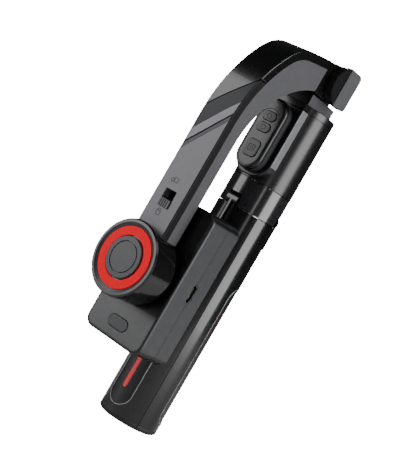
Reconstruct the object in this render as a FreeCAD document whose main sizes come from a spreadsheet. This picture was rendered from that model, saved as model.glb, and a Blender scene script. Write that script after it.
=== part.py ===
import FreeCAD, Part
import math
import os
import re
import Sketcher

# A folding phone gimbal on a telescopic tripod stick, shown folded.
# The stick's axis is Z, its feet stand on Z = 0, -Y is the front and +X the right.

SIZES = {
    # handle: three legs closed round the fixed tube of the rod
    "handle_radius": 15.2,
    "leg_tube_gap": 0.4,
    "leg_angle": 119.0,
    "leg_base": 2.7,
    "leg_length": 111.2,
    "foot_edge_round": 2.0,
    "knuckle_inset": 2.7,
    "knuckle_rise": 2.7,
    "knuckle_radius": 3.2,
    "knuckle_width": 6.7,
    "leg_relief_half_width": 6.8,
    "leg_relief_reach": 1.9,
    "leg_relief_depth": 0.6,
    "post_length": 14.0,
    "hinge_pin_radius": 1.0,
    "hinge_pin_overhang": 2.0,
    "running_gap": 0.05,
    # grip pad and signal strip on each leg
    "pad_width": 12.8,
    "pad_bottom": 6.2,
    "pad_top": 81.0,
    "pad_depth": 1.1,
    "pad_recess": 0.25,
    "pad_gap": 0.3,
    "strip_width": 2.4,
    "strip_bottom": 15.0,
    "strip_top": 72.0,
    "strip_depth": 0.6,
    "strip_recess": 0.1,
    # collar and fixed tube
    "collar_inset": 0.1,
    "collar_gap": 0.4,
    "collar_height": 14.3,
    "collar_slot_gap": 0.35,
    "collar_slot_wall": 0.2,
    "tube_radius": 9.0,
    "tube_wall": 0.5,
    "plug_flange": 2.0,
    "plug_spigot": 4.0,
    # telescopic stages
    "stage_pitch": 1.0,
    "stage_bottom": 7.0,
    "stage_foot": 8.0,
    "stage_foot_gap": 0.12,
    "stage_lip": 1.0,
    "stage_lip_gap": 0.08,
    "stage_step": 2.0,
    # head: sleeve, cap, core and neck with the fold hinge
    "sleeve_wall": 1.2,
    "sleeve_gap": 0.3,
    "sleeve_height": 38.7,
    "cap_gap": 0.4,
    "cap_height": 3.2,
    "cap_edge_round": 0.35,
    "core_depth": 11.6,
    "core_spigot": 12.0,
    "neck_depth": 20.6,
    "neck_width": 7.0,
    "neck_base_width": 14.4,
    "neck_base_height": 6.0,
    "fold_rise": 16.1,
    "fold_knuckle_radius": 9.2,
    "fold_pin_radius": 2.2,
    "fold_side_gap": 0.3,
    # cradle on the sleeve, and the remote control in it
    "cradle_proud": 0.7,
    "cradle_half_width": 10.8,
    "cradle_corner": 9.0,
    "cradle_edge_round": 0.8,
    "cradle_rise": 0.7,
    "cradle_well": 0.8,
    "cradle_well_gap": 0.15,
    "remote_width": 15.6,
    "remote_margin": 1.3,
    "remote_length": 36.4,
    "remote_back_depth": 3.7,
    "remote_front_depth": 2.6,
    "remote_wall": 1.1,
    "remote_front_round": 1.5,
    "remote_key_gap": 0.25,
    "remote_key_width": 8.4,
    "remote_key_proud": 0.5,
    "remote_key_flange": 0.7,
    "small_key_height": 5.0,
    "small_key_high_drop": 9.5,
    "small_key_low_drop": 15.3,
    "large_key_height": 8.8,
    "large_key_rise": 10.2,
    "key_round": 2.4,
    "board_thickness": 0.8,
    "board_gap": 0.2,
    "cell_radius": 5.0,
    "cell_thickness": 1.4,
    # hooked arm
    "arm_width": 17.8,
    "arm_depth": 11.1,
    "arm_back_setback": 1.2,
    "arm_overlap": 1.0,
    "cover_depth": 4.3,
    "bend_drop": 44.3,
    "knee_radius": 66.0,
    "knee_angle": 38.0,
    "crown_radius": 22.0,
    "crown_angle": 80.0,
    "hook_drop": 51.0,
    "hook_radius": 44.0,
    "hook_angle": 72.0,
    "arm_end": 13.0,
    "arm_wall": 1.6,
    "arm_edge_round": 0.5,
    "groove_width": 0.6,
    "groove_depth": 0.35,
    "groove_slope": 50.5,
    "groove_high_drop": 31.1,
    "groove_low_drop": 51.2,
    # yoke, bolt and lever of the fold hinge
    "yoke_rise": 6.6,
    "yoke_drop": 9.6,
    "yoke_foot": 3.4,
    "yoke_bridge": 3.0,
    "bolt_head_radius": 4.6,
    "bolt_head_height": 1.6,
    "lever_gap": 0.3,
    "lever_disc_thickness": 4.4,
    "lever_plate_start": 1.5,
    "lever_plate_thickness": 3.3,
    "lever_overhang": 0.2,
    "lever_chord": 2.4,
    "lever_tail": 7.6,
    "lever_half_height": 9.6,
    "lever_corner": 2.4,
    # slide lock on the arm
    "lock_rise": 31.8,
    "lock_slot_width": 6.8,
    "lock_slot_height": 8.6,
    "lock_knob_height": 3.6,
    "lock_gap": 0.25,
    "lock_proud": 0.7,
    "lock_flange": 1.2,
    "lock_rib_count": 4,
    "lock_rib_width": 0.4,
    "lock_rib_depth": 0.35,
    # motor
    "motor_drop": 118.3,
    "motor_proud": 5.7,
    "motor_radius": 17.6,
    "motor_rim_overhang": 0.6,
    "motor_rim_depth": 3.4,
    "motor_rim_chamfer": 0.7,
    "motor_rim_lip": 1.9,
    "motor_clearance": 1.5,
    "motor_back_round": 3.0,
    "motor_back_lip": 2.2,
    "motor_back_opening": 12.0,
    "motor_wall": 1.6,
    "motor_plate": 1.8,
    "motor_face": 1.5,
    "boss_radius": 8.0,
    "boss_setback": 5.6,
    "face_ring_inset": 3.65,
    "face_ring_slope": 0.7,
    "red_ring_width": 4.15,
    "red_ring_thickness": 1.0,
    "ring_gap": 0.15,
    "hub_gap": 0.5,
    "hub_thickness": 1.7,
    "hub_groove_inset": 2.8,
    "hub_groove_width": 0.5,
    "hub_groove_depth": 0.6,
    "bearing_radius": 6.4,
    "bearing_width": 2.6,
    "shaft_radius": 3.0,
    "stator_gap": 0.7,
    "stator_length": 6.4,
    "stator_slots": 9,
    "stator_slot_width": 1.6,
    "stator_slot_depth": 3.2,
    "bell_gap": 0.8,
    "bell_wall": 1.9,
    "bell_base": 2.0,
    "rotor_neck_gap": 1.0,
    # phone holder
    "mount_width": 38.3,
    "mount_height": 72.0,
    "mount_front_depth": 11.7,
    "mount_rear_depth": 10.0,
    "fold_clearance": 4.6,
    "mount_corner": 5.2,
    "mount_wall": 1.6,
    "seam_gap": 0.15,
    "mount_front_round": 1.2,
    "plate_inset": 1.3,
    "plate_thickness": 0.6,
    "plate_gap": 0.1,
    "channel_width": 24.0,
    "channel_depth": 3.6,
    "jaw_gap": 0.2,
    "jaw_thickness": 1.2,
    "jaw_middle_gap": 0.6,
    "jaw_block": 5.0,
    "claw_width": 16.0,
    "claw_length": 22.0,
    "claw_thickness": 1.4,
    "claw_pivot_inset": 2.4,
    "claw_barrel_radius": 0.95,
    "claw_pin_radius": 0.5,
    "claw_pad_thickness": 0.6,
    "claw_pad_margin": 1.2,
    # function key, charging socket, battery and board
    "key_length": 12.4,
    "key_width": 5.6,
    "key_drop": 27.7,
    "key_gap": 0.25,
    "key_proud": 0.3,
    "key_flange": 0.9,
    "key_travel_room": 1.6,
    "socket_length": 9.2,
    "socket_height": 3.4,
    "socket_depth": 7.2,
    "socket_wall": 0.35,
    "socket_recess": 0.15,
    "socket_tongue": 0.7,
    "battery_margin": 4.65,
    "battery_height": 28.0,
    "battery_depth": 5.4,
    "battery_drop": 19.5,
    "circuit_margin": 3.65,
    "circuit_end_margin": 3.0,
    "circuit_setback": 5.4,
    "spring_roll_radius": 3.4,
    "spring_roll_hole": 1.2,
    "spring_roll_width": 8.0,
    "spring_roll_offset": 24.0,
}

# Where one piece meets another, its size or place follows from the sizes above.
PLACES = {
    "leg_inner_radius": "tube_radius + leg_tube_gap",
    "leg_top": "leg_base + leg_length",
    "knuckle_reach": "handle_radius - knuckle_inset",
    "knuckle_height": "leg_top + knuckle_rise",
    "collar_radius": "handle_radius - collar_inset",
    "collar_base": "leg_top + collar_gap",
    "collar_top": "collar_base + collar_height",
    "sleeve_base": "collar_top + sleeve_gap",
    "sleeve_top": "sleeve_base + sleeve_height",
    "cap_base": "sleeve_top + cap_gap",
    "cap_top": "cap_base + cap_height",
    "core_base": "sleeve_top - core_depth",
    "neck_shoulder": "cap_top + neck_base_height",
    "fold_height": "cap_top + fold_rise",
    "cradle_front": "handle_radius + cradle_proud",
    "cradle_bottom": "sleeve_base + cradle_rise",
    "remote_bottom": "cradle_bottom + remote_margin",
    "remote_top": "remote_bottom + remote_length",
    "remote_seam": "handle_radius + remote_back_depth",
    "remote_front": "remote_seam + remote_front_depth",
    "small_key_high": "remote_top - small_key_high_drop",
    "small_key_low": "remote_top - small_key_low_drop",
    "large_key_middle": "remote_bottom + large_key_rise",
    "bend_start": "fold_height - bend_drop",
    "hook_start": "fold_height - hook_drop",
    "groove_high": "fold_height - groove_high_drop",
    "groove_low": "fold_height - groove_low_drop",
    "yoke_cheek": "(arm_width - neck_width) / 2 - fold_side_gap",
    "lever_radius": "fold_knuckle_radius + lever_overhang",
    "motor_height": "fold_height - motor_drop",
    "arm_low": "motor_height + arm_overlap",
    "lock_height": "motor_height + lock_rise",
    "mount_back": "handle_radius + fold_clearance",
    "mount_seam": "mount_back + mount_rear_depth",
    "mount_front": "mount_seam + mount_front_depth",
    "motor_back": "mount_front + motor_clearance",
    "arm_back": "motor_back + arm_back_setback",
    "arm_front": "arm_back + arm_depth",
    "motor_front": "arm_front + motor_proud",
    "boss_end": "motor_back + boss_setback",
    "motor_rim_radius": "motor_radius + motor_rim_overhang",
    "face_ring_inner": "motor_rim_radius - face_ring_inset",
    "red_ring_inner": "face_ring_inner - red_ring_width",
    "hub_radius": "red_ring_inner - hub_gap",
    "hub_groove_radius": "hub_radius - hub_groove_inset",
    "bell_radius": "motor_radius - motor_wall - bell_gap",
    "stator_radius": "bell_radius - bell_wall - stator_gap",
    "rotor_neck_radius": "motor_back_opening - rotor_neck_gap",
    "battery_width": "mount_width - 2 * battery_margin",
    "circuit_width": "mount_width - 2 * circuit_margin",
    "circuit_height": "mount_height - 2 * circuit_end_margin",
}

LEG_TURNS = {"leg_1": 0.0, "leg_2": 120.0, "leg_3": -120.0}
STAGES = 5
SMALLEST_CUT = 1e-4
TOUCHING = 1e-3
FULL_TURN = 360

doc = FreeCAD.newDocument("PhoneGimbal")
sheet = doc.addObject("Spreadsheet::Sheet", "Dim")
for row, (alias, number) in enumerate(SIZES.items(), start=1):
    sheet.set("A%d" % row, alias)
    sheet.set("B%d" % row, str(number))
    sheet.setAlias("B%d" % row, alias)
doc.recompute()

WORD = re.compile(r"[A-Za-z_]\w*")
nodes = []


# ---- expressions -------------------------------------------------------------------


def meaning(name):
    """A size is its cell in the sheet, and a place is its own formula."""
    if name in PLACES:
        return "(" + formula(PLACES[name]) + ")"
    return "Dim." + name if name in SIZES else name


def formula(text):
    return WORD.sub(lambda word: meaning(word.group()), text)


def value(text):
    return float(sheet.evalExpression(formula(text)))


def bind(thing, **sizes):
    for name, text in sizes.items():
        thing.setExpression(name, formula(text))
    return thing


def place(thing, x="0", y="0", z="0"):
    for axis, text in (("x", x), ("y", y), ("z", z)):
        thing.setExpression(".Placement.Base." + axis, formula(text))
    return thing


# ---- sketches ----------------------------------------------------------------------


def origin_feature(body, role):
    return next(feature for feature in body.Origin.OriginFeatures if feature.Role == role)


def new_body(label, x="0", y="0", z="0"):
    body = doc.addObject("PartDesign::Body", label)
    body.Label = label
    nodes.append(body)
    return place(body, x, y, z)


def new_sketch(body, role, offset="0"):
    """A sketch on one of the body's own planes, moved along that plane's normal."""
    sketch = body.newObject("Sketcher::SketchObject", body.Name + "_sketch")
    sketch.AttachmentSupport = (origin_feature(body, role), [""])
    sketch.MapMode = "FlatFace"
    sketch.setExpression(".AttachmentOffset.Base.z", formula(offset))
    return sketch


def constrain(sketch, kind, where, text):
    number = sketch.addConstraint(Sketcher.Constraint(kind, *where, value(text)))
    sketch.setExpression("Constraints[%d]" % number, formula(text))


def pin_point(sketch, piece, end, x, y):
    constrain(sketch, "DistanceX", (piece, end), x)
    constrain(sketch, "DistanceY", (piece, end), y)


def draw_circle(sketch, radius, x="0", y="0"):
    centre = FreeCAD.Vector(value(x), value(y), 0)
    circle = Part.Circle(centre, FreeCAD.Vector(0, 0, 1), value(radius))
    piece = sketch.addGeometry(circle, False)
    constrain(sketch, "Radius", (piece,), radius)
    pin_point(sketch, piece, 3, x, y)


def arc_between(start, end, radius, turn):
    """The short arc from start to end that bends left (turn 1) or right (turn -1)."""
    chord = end - start
    left = FreeCAD.Vector(-chord.y, chord.x, 0).normalize()
    reach = math.sqrt(max(radius ** 2 - (chord.Length / 2) ** 2, 0))
    centre = (start + end) * 0.5 + left * (reach * turn)
    return Part.Arc(start, centre - left * (radius * turn), end)


def draw_outline(sketch, corners):
    """A closed outline. A corner is (x, y), or (x, y, radius, turn) where an arc leaves it."""
    points = [FreeCAD.Vector(value(corner[0]), value(corner[1]), 0) for corner in corners]
    ends = []
    for index, corner in enumerate(corners):
        start, end = points[index], points[(index + 1) % len(points)]
        if len(corner) == 2:
            piece = sketch.addGeometry(Part.LineSegment(start, end), False)
            ends.append((piece, 1, 2))
        else:
            turn = corner[3]
            piece = sketch.addGeometry(arc_between(start, end, value(corner[2]), turn), False)
            ends.append((piece, 1, 2) if turn > 0 else (piece, 2, 1))
    for index, (piece, _, last) in enumerate(ends):
        following, first, _ = ends[(index + 1) % len(ends)]
        sketch.addConstraint(Sketcher.Constraint("Coincident", piece, last, following, first))
    for (piece, first, _), corner in zip(ends, corners):
        pin_point(sketch, piece, first, corner[0], corner[1])
        if len(corner) == 4:
            constrain(sketch, "Radius", (piece,), corner[2])


def draw_rectangle(sketch, left, right, low, high):
    draw_outline(sketch, [(left, low), (right, low), (right, high), (left, high)])


def draw_rounded_rectangle(sketch, half_width, half_height, radius, x="0", y="0"):
    right, left = f"{x} + ({half_width})", f"{x} - ({half_width})"
    high, low = f"{y} + ({half_height})", f"{y} - ({half_height})"
    draw_outline(sketch, [
        (f"{left} + ({radius})", low),
        (f"{right} - ({radius})", low, radius, 1),
        (right, f"{low} + ({radius})"),
        (right, f"{high} - ({radius})", radius, 1),
        (f"{right} - ({radius})", high),
        (f"{left} + ({radius})", high, radius, 1),
        (left, f"{high} - ({radius})"),
        (left, f"{low} + ({radius})", radius, 1),
    ])


def draw_slot(sketch, radius, first, second):
    """A round-ended slot between two centres, each (x, y)."""
    start = FreeCAD.Vector(value(first[0]), value(first[1]), 0)
    end = FreeCAD.Vector(value(second[0]), value(second[1]), 0)
    along = (end - start).normalize()
    side = FreeCAD.Vector(-along.y, along.x, 0) * value(radius)
    cap = along * value(radius)
    pieces = [
        Part.LineSegment(start - side, end - side),
        Part.Arc(end - side, end + cap, end + side),
        Part.LineSegment(end + side, start + side),
        Part.Arc(start + side, start - cap, start - side),
    ]
    lower, far, upper, near = (sketch.addGeometry(piece, False) for piece in pieces)
    for one, two in ((lower, far), (far, upper), (upper, near), (near, lower)):
        sketch.addConstraint(Sketcher.Constraint("Tangent", one, 2, two, 1))
    sketch.addConstraint(Sketcher.Constraint("Equal", far, near))
    constrain(sketch, "Radius", (far,), radius)
    pin_point(sketch, far, 3, *second)
    pin_point(sketch, near, 3, *first)


# ---- features ----------------------------------------------------------------------


def solid_feature(body, kind, sketch, **sizes):
    feature = body.newObject("PartDesign::" + kind, body.Name + "_" + kind.lower())
    feature.Profile = sketch
    sketch.Visibility = False
    return bind(feature, **sizes)


def pad(body, sketch, length, both_ways=False, backwards=False):
    feature = solid_feature(body, "Pad", sketch, Length=length)
    if both_ways:
        feature.SideType = "Symmetric"
    feature.Reversed = backwards
    return feature


def pocket(body, sketch, depth, both_ways=False, backwards=False):
    """A cut that runs against the sketch's normal, or along it when backwards."""
    doc.recompute()
    before = body.Shape.Volume
    feature = solid_feature(body, "Pocket", sketch, Length=depth)
    if both_ways:
        feature.SideType = "Symmetric"
    feature.Reversed = backwards
    doc.recompute()
    if before - body.Shape.Volume < SMALLEST_CUT:
        raise ValueError(body.Label + ": a cut removed nothing")
    return feature


def turned(label, outline, axis="Z", z="0"):
    """A body of revolution. The outline is (radius, distance along the axis)."""
    body = new_body(label, z=z)
    sketch = new_sketch(body, "XZ_Plane" if axis == "Z" else "XY_Plane")
    draw_outline(sketch, outline)
    feature = solid_feature(body, "Revolution", sketch)
    feature.ReferenceAxis = (origin_feature(body, axis + "_Axis"), [""])
    feature.Angle = FULL_TURN
    doc.recompute()
    return body


def round_edges(body, radius, chosen):
    """Round the edges of the body's last feature for which chosen(edge) is true."""
    doc.recompute()
    base = body.Tip
    names = ["Edge%d" % number for number, edge in enumerate(base.Shape.Edges, start=1) if chosen(edge)]
    if not names:
        raise ValueError(body.Label + ": no edge to round")
    feature = body.newObject("PartDesign::Fillet", body.Name + "_round")
    feature.Base = (base, names)
    bind(feature, Radius=radius)
    doc.recompute()
    return feature


def all_points(edge, test):
    """True when the test holds at five points along the edge."""
    first, last = edge.FirstParameter, edge.LastParameter
    places = (edge.valueAt(first + (last - first) * step / 4) for step in range(5))
    return all(test(point) for point in places)


def near(one, two):
    return abs(one - two) < TOUCHING


# ---- primitives and booleans -------------------------------------------------------


AXIS_TURNS = {
    "x": FreeCAD.Rotation(FreeCAD.Vector(0, 1, 0), 90),
    "y": FreeCAD.Rotation(FreeCAD.Vector(1, 0, 0), -90),
    "z": FreeCAD.Rotation(),
}


def cylinder(name, radius, height, x="0", y="0", z="0", axis="z"):
    """A cylinder that starts at x, y, z and runs along the axis."""
    shape = doc.addObject("Part::Cylinder", name)
    shape.Placement.Rotation = AXIS_TURNS[axis]
    return place(bind(shape, Radius=radius, Height=height), x, y, z)


def box(name, length, width, height, x="0", y="0", z="0"):
    """A box with its low corner at x, y, z."""
    shape = doc.addObject("Part::Box", name)
    return place(bind(shape, Length=length, Width=width, Height=height), x, y, z)


def fuse(name, *shapes):
    result = doc.addObject("Part::MultiFuse", name)
    result.Shapes = list(shapes)
    result.Refine = True
    return result


def common(name, *shapes):
    result = doc.addObject("Part::MultiCommon", name)
    result.Shapes = list(shapes)
    result.Refine = True
    return result


def cut(name, base, *tools):
    result = doc.addObject("Part::Cut", name)
    result.Base = base
    result.Tool = tools[0] if len(tools) == 1 else fuse(name + "_tools", *tools)
    result.Refine = True
    return result


def compound(name, *shapes):
    result = doc.addObject("Part::Compound", name)
    result.Links = list(shapes)
    return result


def slot_prism(name, width, low, high, near_face, depth):
    """A round-ended upright bar that runs along Y, from -near_face to -(near_face + depth)."""
    start = f"-({near_face}) - ({depth})"
    radius = f"({width}) / 2"
    straight = f"({high}) - ({low}) - ({width})"
    return fuse(
        name,
        box(name + "_bar", width, depth, straight, f"-({radius})", start, f"{low} + {radius}"),
        cylinder(name + "_low", radius, depth, "0", start, f"{low} + {radius}", "y"),
        cylinder(name + "_high", radius, depth, "0", start, f"{high} - {radius}", "y"),
    )


def finish_node(shape, label, turn=0.0):
    shape.Label = label
    shape.Placement = FreeCAD.Placement(FreeCAD.Vector(), FreeCAD.Rotation(FreeCAD.Vector(0, 0, 1), turn))
    nodes.append(shape)
    return shape


# ---- handle ------------------------------------------------------------------------


def leg_sector(name, outer, inner, low, high):
    """A third of a thick tube, centred on -Y, less half a seam at each side."""
    height = f"({high}) - ({low})"
    solid = bind(cylinder(name + "_outside", outer, height, z=low), Angle="leg_angle")
    solid.Placement.Rotation = FreeCAD.Rotation(FreeCAD.Vector(0, 0, 1), 0)
    solid.setExpression(".Placement.Rotation.Angle", formula("-90 - leg_angle / 2"))
    return cut(name, solid, cylinder(name + "_inside", inner, height, z=low))


def make_leg(label, turn):
    """A leg: shell, hinge knuckle, the half-round post under it, and the pad's recess.

    The relief beside the knuckle lets the leg's top swing past the collar."""
    sector = leg_sector(label + "_sector", "handle_radius", "leg_inner_radius", "leg_base", "leg_top")
    relief = box(label + "_relief", "2 * leg_relief_half_width", "2 * leg_relief_reach", "leg_relief_depth",
                 "-leg_relief_half_width", "-knuckle_reach - leg_relief_reach", "leg_top - leg_relief_depth")
    shell = cut(label + "_shell", sector, relief)
    knuckle = cylinder(label + "_knuckle", "knuckle_radius", "knuckle_width",
                       "-knuckle_width / 2", "-knuckle_reach", "knuckle_height", "x")
    post = cylinder(label + "_post", "knuckle_radius", "post_length",
                    "0", "-knuckle_reach", "knuckle_height - post_length")
    neck = box(label + "_neck", "knuckle_width", "knuckle_radius", "knuckle_height - leg_top + hinge_pin_overhang",
               "-knuckle_width / 2", "-knuckle_reach - knuckle_radius / 2", "leg_top - hinge_pin_overhang")
    pin_hole = cylinder(label + "_pin_hole", "hinge_pin_radius + running_gap", "knuckle_width",
                        "-knuckle_width / 2", "-knuckle_reach", "knuckle_height", "x")
    recess = cut(label + "_recess",
                 slot_prism(label + "_recess_bar", "pad_width", "pad_bottom", "pad_top", "0", "2 * handle_radius"),
                 cylinder(label + "_recess_floor", "handle_radius - pad_depth", "pad_top", z="0"))
    tube_room = cylinder(label + "_tube_room", "leg_inner_radius", "knuckle_height", z="leg_base")
    leg = cut(label, fuse(label + "_solid", shell, knuckle, post, neck), pin_hole, recess, tube_room)
    return finish_node(leg, label, turn)


def make_leg_foot(label, turn):
    foot = leg_sector(label + "_sector", "handle_radius", "leg_inner_radius", "0", "leg_base")
    doc.recompute()
    edges = [
        (number, value("foot_edge_round"), value("foot_edge_round"))
        for number, edge in enumerate(foot.Shape.Edges, start=1)
        if all_points(edge, lambda point: near(point.z, 0) and near(math.hypot(point.x, point.y), value("handle_radius")))
    ]
    rounded = doc.addObject("Part::Fillet", label)
    rounded.Base = foot
    rounded.Edges = edges
    return finish_node(rounded, label, turn)


def make_leg_pad(label, turn):
    """The soft grip pad, a little below the leg's skin, with a slot for its strip."""
    bar = slot_prism(label + "_bar", "pad_width - 2 * pad_gap", "pad_bottom + pad_gap", "pad_top - pad_gap",
                     "0", "2 * handle_radius")
    skin = common(label + "_skin", bar,
                  cylinder(label + "_outside", "handle_radius - pad_recess", "pad_top", z="0"))
    strip_slot = cut(label + "_strip_slot",
                     slot_prism(label + "_strip_bar", "strip_width", "strip_bottom", "strip_top",
                                "0", "2 * handle_radius"),
                     cylinder(label + "_strip_floor", "handle_radius - pad_recess - strip_depth", "pad_top", z="0"))
    pad_shape = cut(label, skin,
                    cylinder(label + "_inside", "handle_radius - pad_depth", "pad_top", z="0"), strip_slot)
    return finish_node(pad_shape, label, turn)


def make_leg_strip(label, turn):
    bar = slot_prism(label + "_bar", "strip_width", "strip_bottom", "strip_top", "0", "2 * handle_radius")
    skin = common(label + "_skin", bar,
                  cylinder(label + "_outside", "handle_radius - pad_recess - strip_recess", "strip_top", z="0"))
    strip = cut(label, skin,
                cylinder(label + "_inside", "handle_radius - pad_recess - strip_depth", "strip_top", z="0"))
    return finish_node(strip, label, turn)


def make_collar():
    """The ring that carries the legs, with one open slot for each knuckle."""
    ring = cylinder("collar_ring", "collar_radius", "collar_top - collar_base", z="collar_base")
    bore = cylinder("collar_bore", "tube_radius", "collar_top - collar_base", z="collar_base")
    tools = [bore]
    width = "knuckle_width + 2 * collar_slot_gap"
    for label, turn in LEG_TURNS.items():
        slot = box("collar_slot_" + label, width, "collar_radius",
                   "knuckle_height + knuckle_radius + collar_slot_gap - collar_base",
                   f"-({width}) / 2", "-collar_radius - tube_radius - collar_slot_wall", "collar_base")
        hole = cylinder("collar_hole_" + label, "hinge_pin_radius", "knuckle_width + 4 * hinge_pin_overhang",
                        "-knuckle_width / 2 - 2 * hinge_pin_overhang", "-knuckle_reach", "knuckle_height", "x")
        tool = fuse("collar_cut_" + label, slot, hole)
        tool.Placement.Rotation = FreeCAD.Rotation(FreeCAD.Vector(0, 0, 1), turn)
        tools.append(tool)
    return finish_node(cut("collar", ring, *tools), "collar")


def make_leg_pins():
    pins = []
    for label, turn in LEG_TURNS.items():
        rod = cylinder("pin_rod_" + label, "hinge_pin_radius", "knuckle_width + 2 * hinge_pin_overhang",
                       "-knuckle_width / 2 - hinge_pin_overhang", "-knuckle_reach", "knuckle_height", "x")
        pin = compound("pin_" + label, rod)
        pin.Placement.Rotation = FreeCAD.Rotation(FreeCAD.Vector(0, 0, 1), turn)
        pins.append(pin)
    return finish_node(compound("leg_pins", *pins), "leg_pins")


def make_fixed_tube():
    inner = "tube_radius - tube_wall"
    lip = "tube_radius - stage_pitch + stage_lip_gap"
    turned("outer_tube", [
        (inner, "plug_flange"),
        ("tube_radius", "plug_flange"),
        ("tube_radius", "collar_top"),
        (lip, "collar_top"),
        (lip, "collar_top - stage_lip"),
        (inner, "collar_top - stage_lip"),
    ])
    turned("base_plug", [
        ("0", "0"),
        ("tube_radius", "0"),
        ("tube_radius", "plug_flange"),
        (inner, "plug_flange"),
        (inner, "plug_flange + plug_spigot"),
        ("0", "plug_flange + plug_spigot"),
    ])


def make_stages():
    """Each stage has a swelled foot that runs in the tube outside it, and a lip at its top."""
    for number in range(1, STAGES + 1):
        outer = f"tube_radius - {number} * stage_pitch"
        inner = f"{outer} - tube_wall"
        foot = f"{outer} + stage_pitch - tube_wall - stage_foot_gap"
        last = number == STAGES
        top = "core_base" if last else f"collar_top + {number} * stage_step"
        outline = [
            (inner, "stage_bottom"),
            (foot, "stage_bottom"),
            (foot, "stage_bottom + stage_foot"),
            (outer, "stage_bottom + stage_foot"),
            (outer, top),
        ]
        if last:
            outline.append((inner, top))
        else:
            lip = f"{outer} - stage_pitch + stage_lip_gap"
            outline += [(lip, top), (lip, f"{top} - stage_lip"), (inner, f"{top} - stage_lip")]
        turned("rod_stage_%d" % number, outline)


# ---- head --------------------------------------------------------------------------


def make_sleeve():
    """The sleeve over the rod's top, with the flat-faced cradle moulded on its front."""
    body = new_body("head_sleeve")
    plan = new_sketch(body, "XY_Plane", "sleeve_base")
    draw_circle(plan, "handle_radius")
    pad(body, plan, "sleeve_top - sleeve_base")
    block = new_sketch(body, "XZ_Plane")
    draw_outline(block, [
        ("-cradle_half_width + cradle_corner", "cradle_bottom"),
        ("cradle_half_width - cradle_corner", "cradle_bottom", "cradle_corner", 1),
        ("cradle_half_width", "cradle_bottom + cradle_corner"),
        ("cradle_half_width", "sleeve_top"),
        ("-cradle_half_width", "sleeve_top"),
        ("-cradle_half_width", "cradle_bottom + cradle_corner", "cradle_corner", 1),
    ])
    pad(body, block, "cradle_front")
    front, rim = value("-cradle_front"), value("sleeve_top")
    round_edges(body, "cradle_edge_round", lambda edge: all_points(edge, lambda point: near(point.y, front))
                and not all_points(edge, lambda point: near(point.z, rim)))
    bore = new_sketch(body, "XY_Plane", "sleeve_base")
    draw_circle(bore, "handle_radius - sleeve_wall")
    pocket(body, bore, "sleeve_top - sleeve_base", backwards=True)
    well = new_sketch(body, "XZ_Plane", "cradle_front")
    remote_slot(well, "-cradle_well_gap")
    pocket(body, well, "cradle_well")


def make_head():
    inner = "handle_radius - sleeve_wall"
    spigot = f"tube_radius - {STAGES} * stage_pitch - tube_wall"
    turned("head_core", [
        ("0", "core_base - core_spigot"),
        (spigot, "core_base - core_spigot"),
        (spigot, "core_base"),
        (inner, "core_base"),
        (inner, "cap_base"),
        ("0", "cap_base"),
    ])
    cap = new_body("head_cap")
    plan = new_sketch(cap, "XY_Plane", "cap_base")
    draw_circle(plan, "handle_radius")
    pad(cap, plan, "cap_top - cap_base")
    tongue = new_sketch(cap, "XY_Plane", "cap_base")
    draw_rectangle(tongue, "-cradle_half_width", "cradle_half_width", "-cradle_front", "0")
    pad(cap, tongue, "cap_top - cap_base")
    top = value("cap_top")
    round_edges(cap, "cap_edge_round", lambda edge: all_points(edge, lambda point: near(point.z, top)))


def make_neck():
    """The block that stands on the cap and the narrower tongue that carries the fold hinge."""
    body = new_body("neck_tongue")
    base = new_sketch(body, "XY_Plane", "cap_top")
    draw_rectangle(base, "-neck_base_width / 2", "neck_base_width / 2", "-neck_depth / 2", "neck_depth / 2")
    pad(body, base, "neck_shoulder - cap_top")
    tongue = new_sketch(body, "YZ_Plane")
    draw_outline(tongue, [
        ("-fold_knuckle_radius", "neck_shoulder"),
        ("fold_knuckle_radius", "neck_shoulder"),
        ("fold_knuckle_radius", "fold_height", "fold_knuckle_radius", 1),
        ("0", "fold_height + fold_knuckle_radius", "fold_knuckle_radius", 1),
        ("-fold_knuckle_radius", "fold_height"),
    ])
    pad(body, tongue, "neck_width", both_ways=True)
    hole = new_sketch(body, "YZ_Plane")
    draw_circle(hole, "fold_pin_radius + running_gap", "0", "fold_height")
    pocket(body, hole, "neck_width", both_ways=True)


# ---- remote control ----------------------------------------------------------------


def remote_slot(sketch, inset="0"):
    radius = f"remote_width / 2 - ({inset})"
    draw_slot(sketch, radius, ("0", "remote_bottom + remote_width / 2"), ("0", "remote_top - remote_width / 2"))


REMOTE_KEYS = {
    "remote_key_1": ("small_key_high", "small_key_height"),
    "remote_key_2": ("small_key_low", "small_key_height"),
    "remote_key_3": ("large_key_middle", "large_key_height"),
}


def make_remote_front():
    body = new_body("remote_front_shell")
    sketch = new_sketch(body, "XZ_Plane", "remote_seam")
    remote_slot(sketch)
    pad(body, sketch, "remote_front - remote_seam")
    front = value("-remote_front")
    round_edges(body, "remote_front_round", lambda edge: all_points(edge, lambda point: near(point.y, front)))
    hollow = new_sketch(body, "XZ_Plane", "remote_seam")
    remote_slot(hollow, "remote_wall")
    pocket(body, hollow, "remote_front - remote_seam - remote_wall", backwards=True)
    for middle, height in REMOTE_KEYS.values():
        window = new_sketch(body, "XZ_Plane", "remote_seam")
        draw_rounded_rectangle(window, "remote_key_width / 2", f"{height} / 2", "key_round", "0", middle)
        pocket(body, window, "remote_front", backwards=True)


def make_remote_back():
    body = new_body("remote_back_shell")
    sketch = new_sketch(body, "XZ_Plane", "handle_radius")
    remote_slot(sketch)
    pad(body, sketch, "remote_seam - handle_radius")
    hollow = new_sketch(body, "XZ_Plane", "remote_seam")
    remote_slot(hollow, "remote_wall")
    pocket(body, hollow, "remote_seam - handle_radius - remote_wall")


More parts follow.
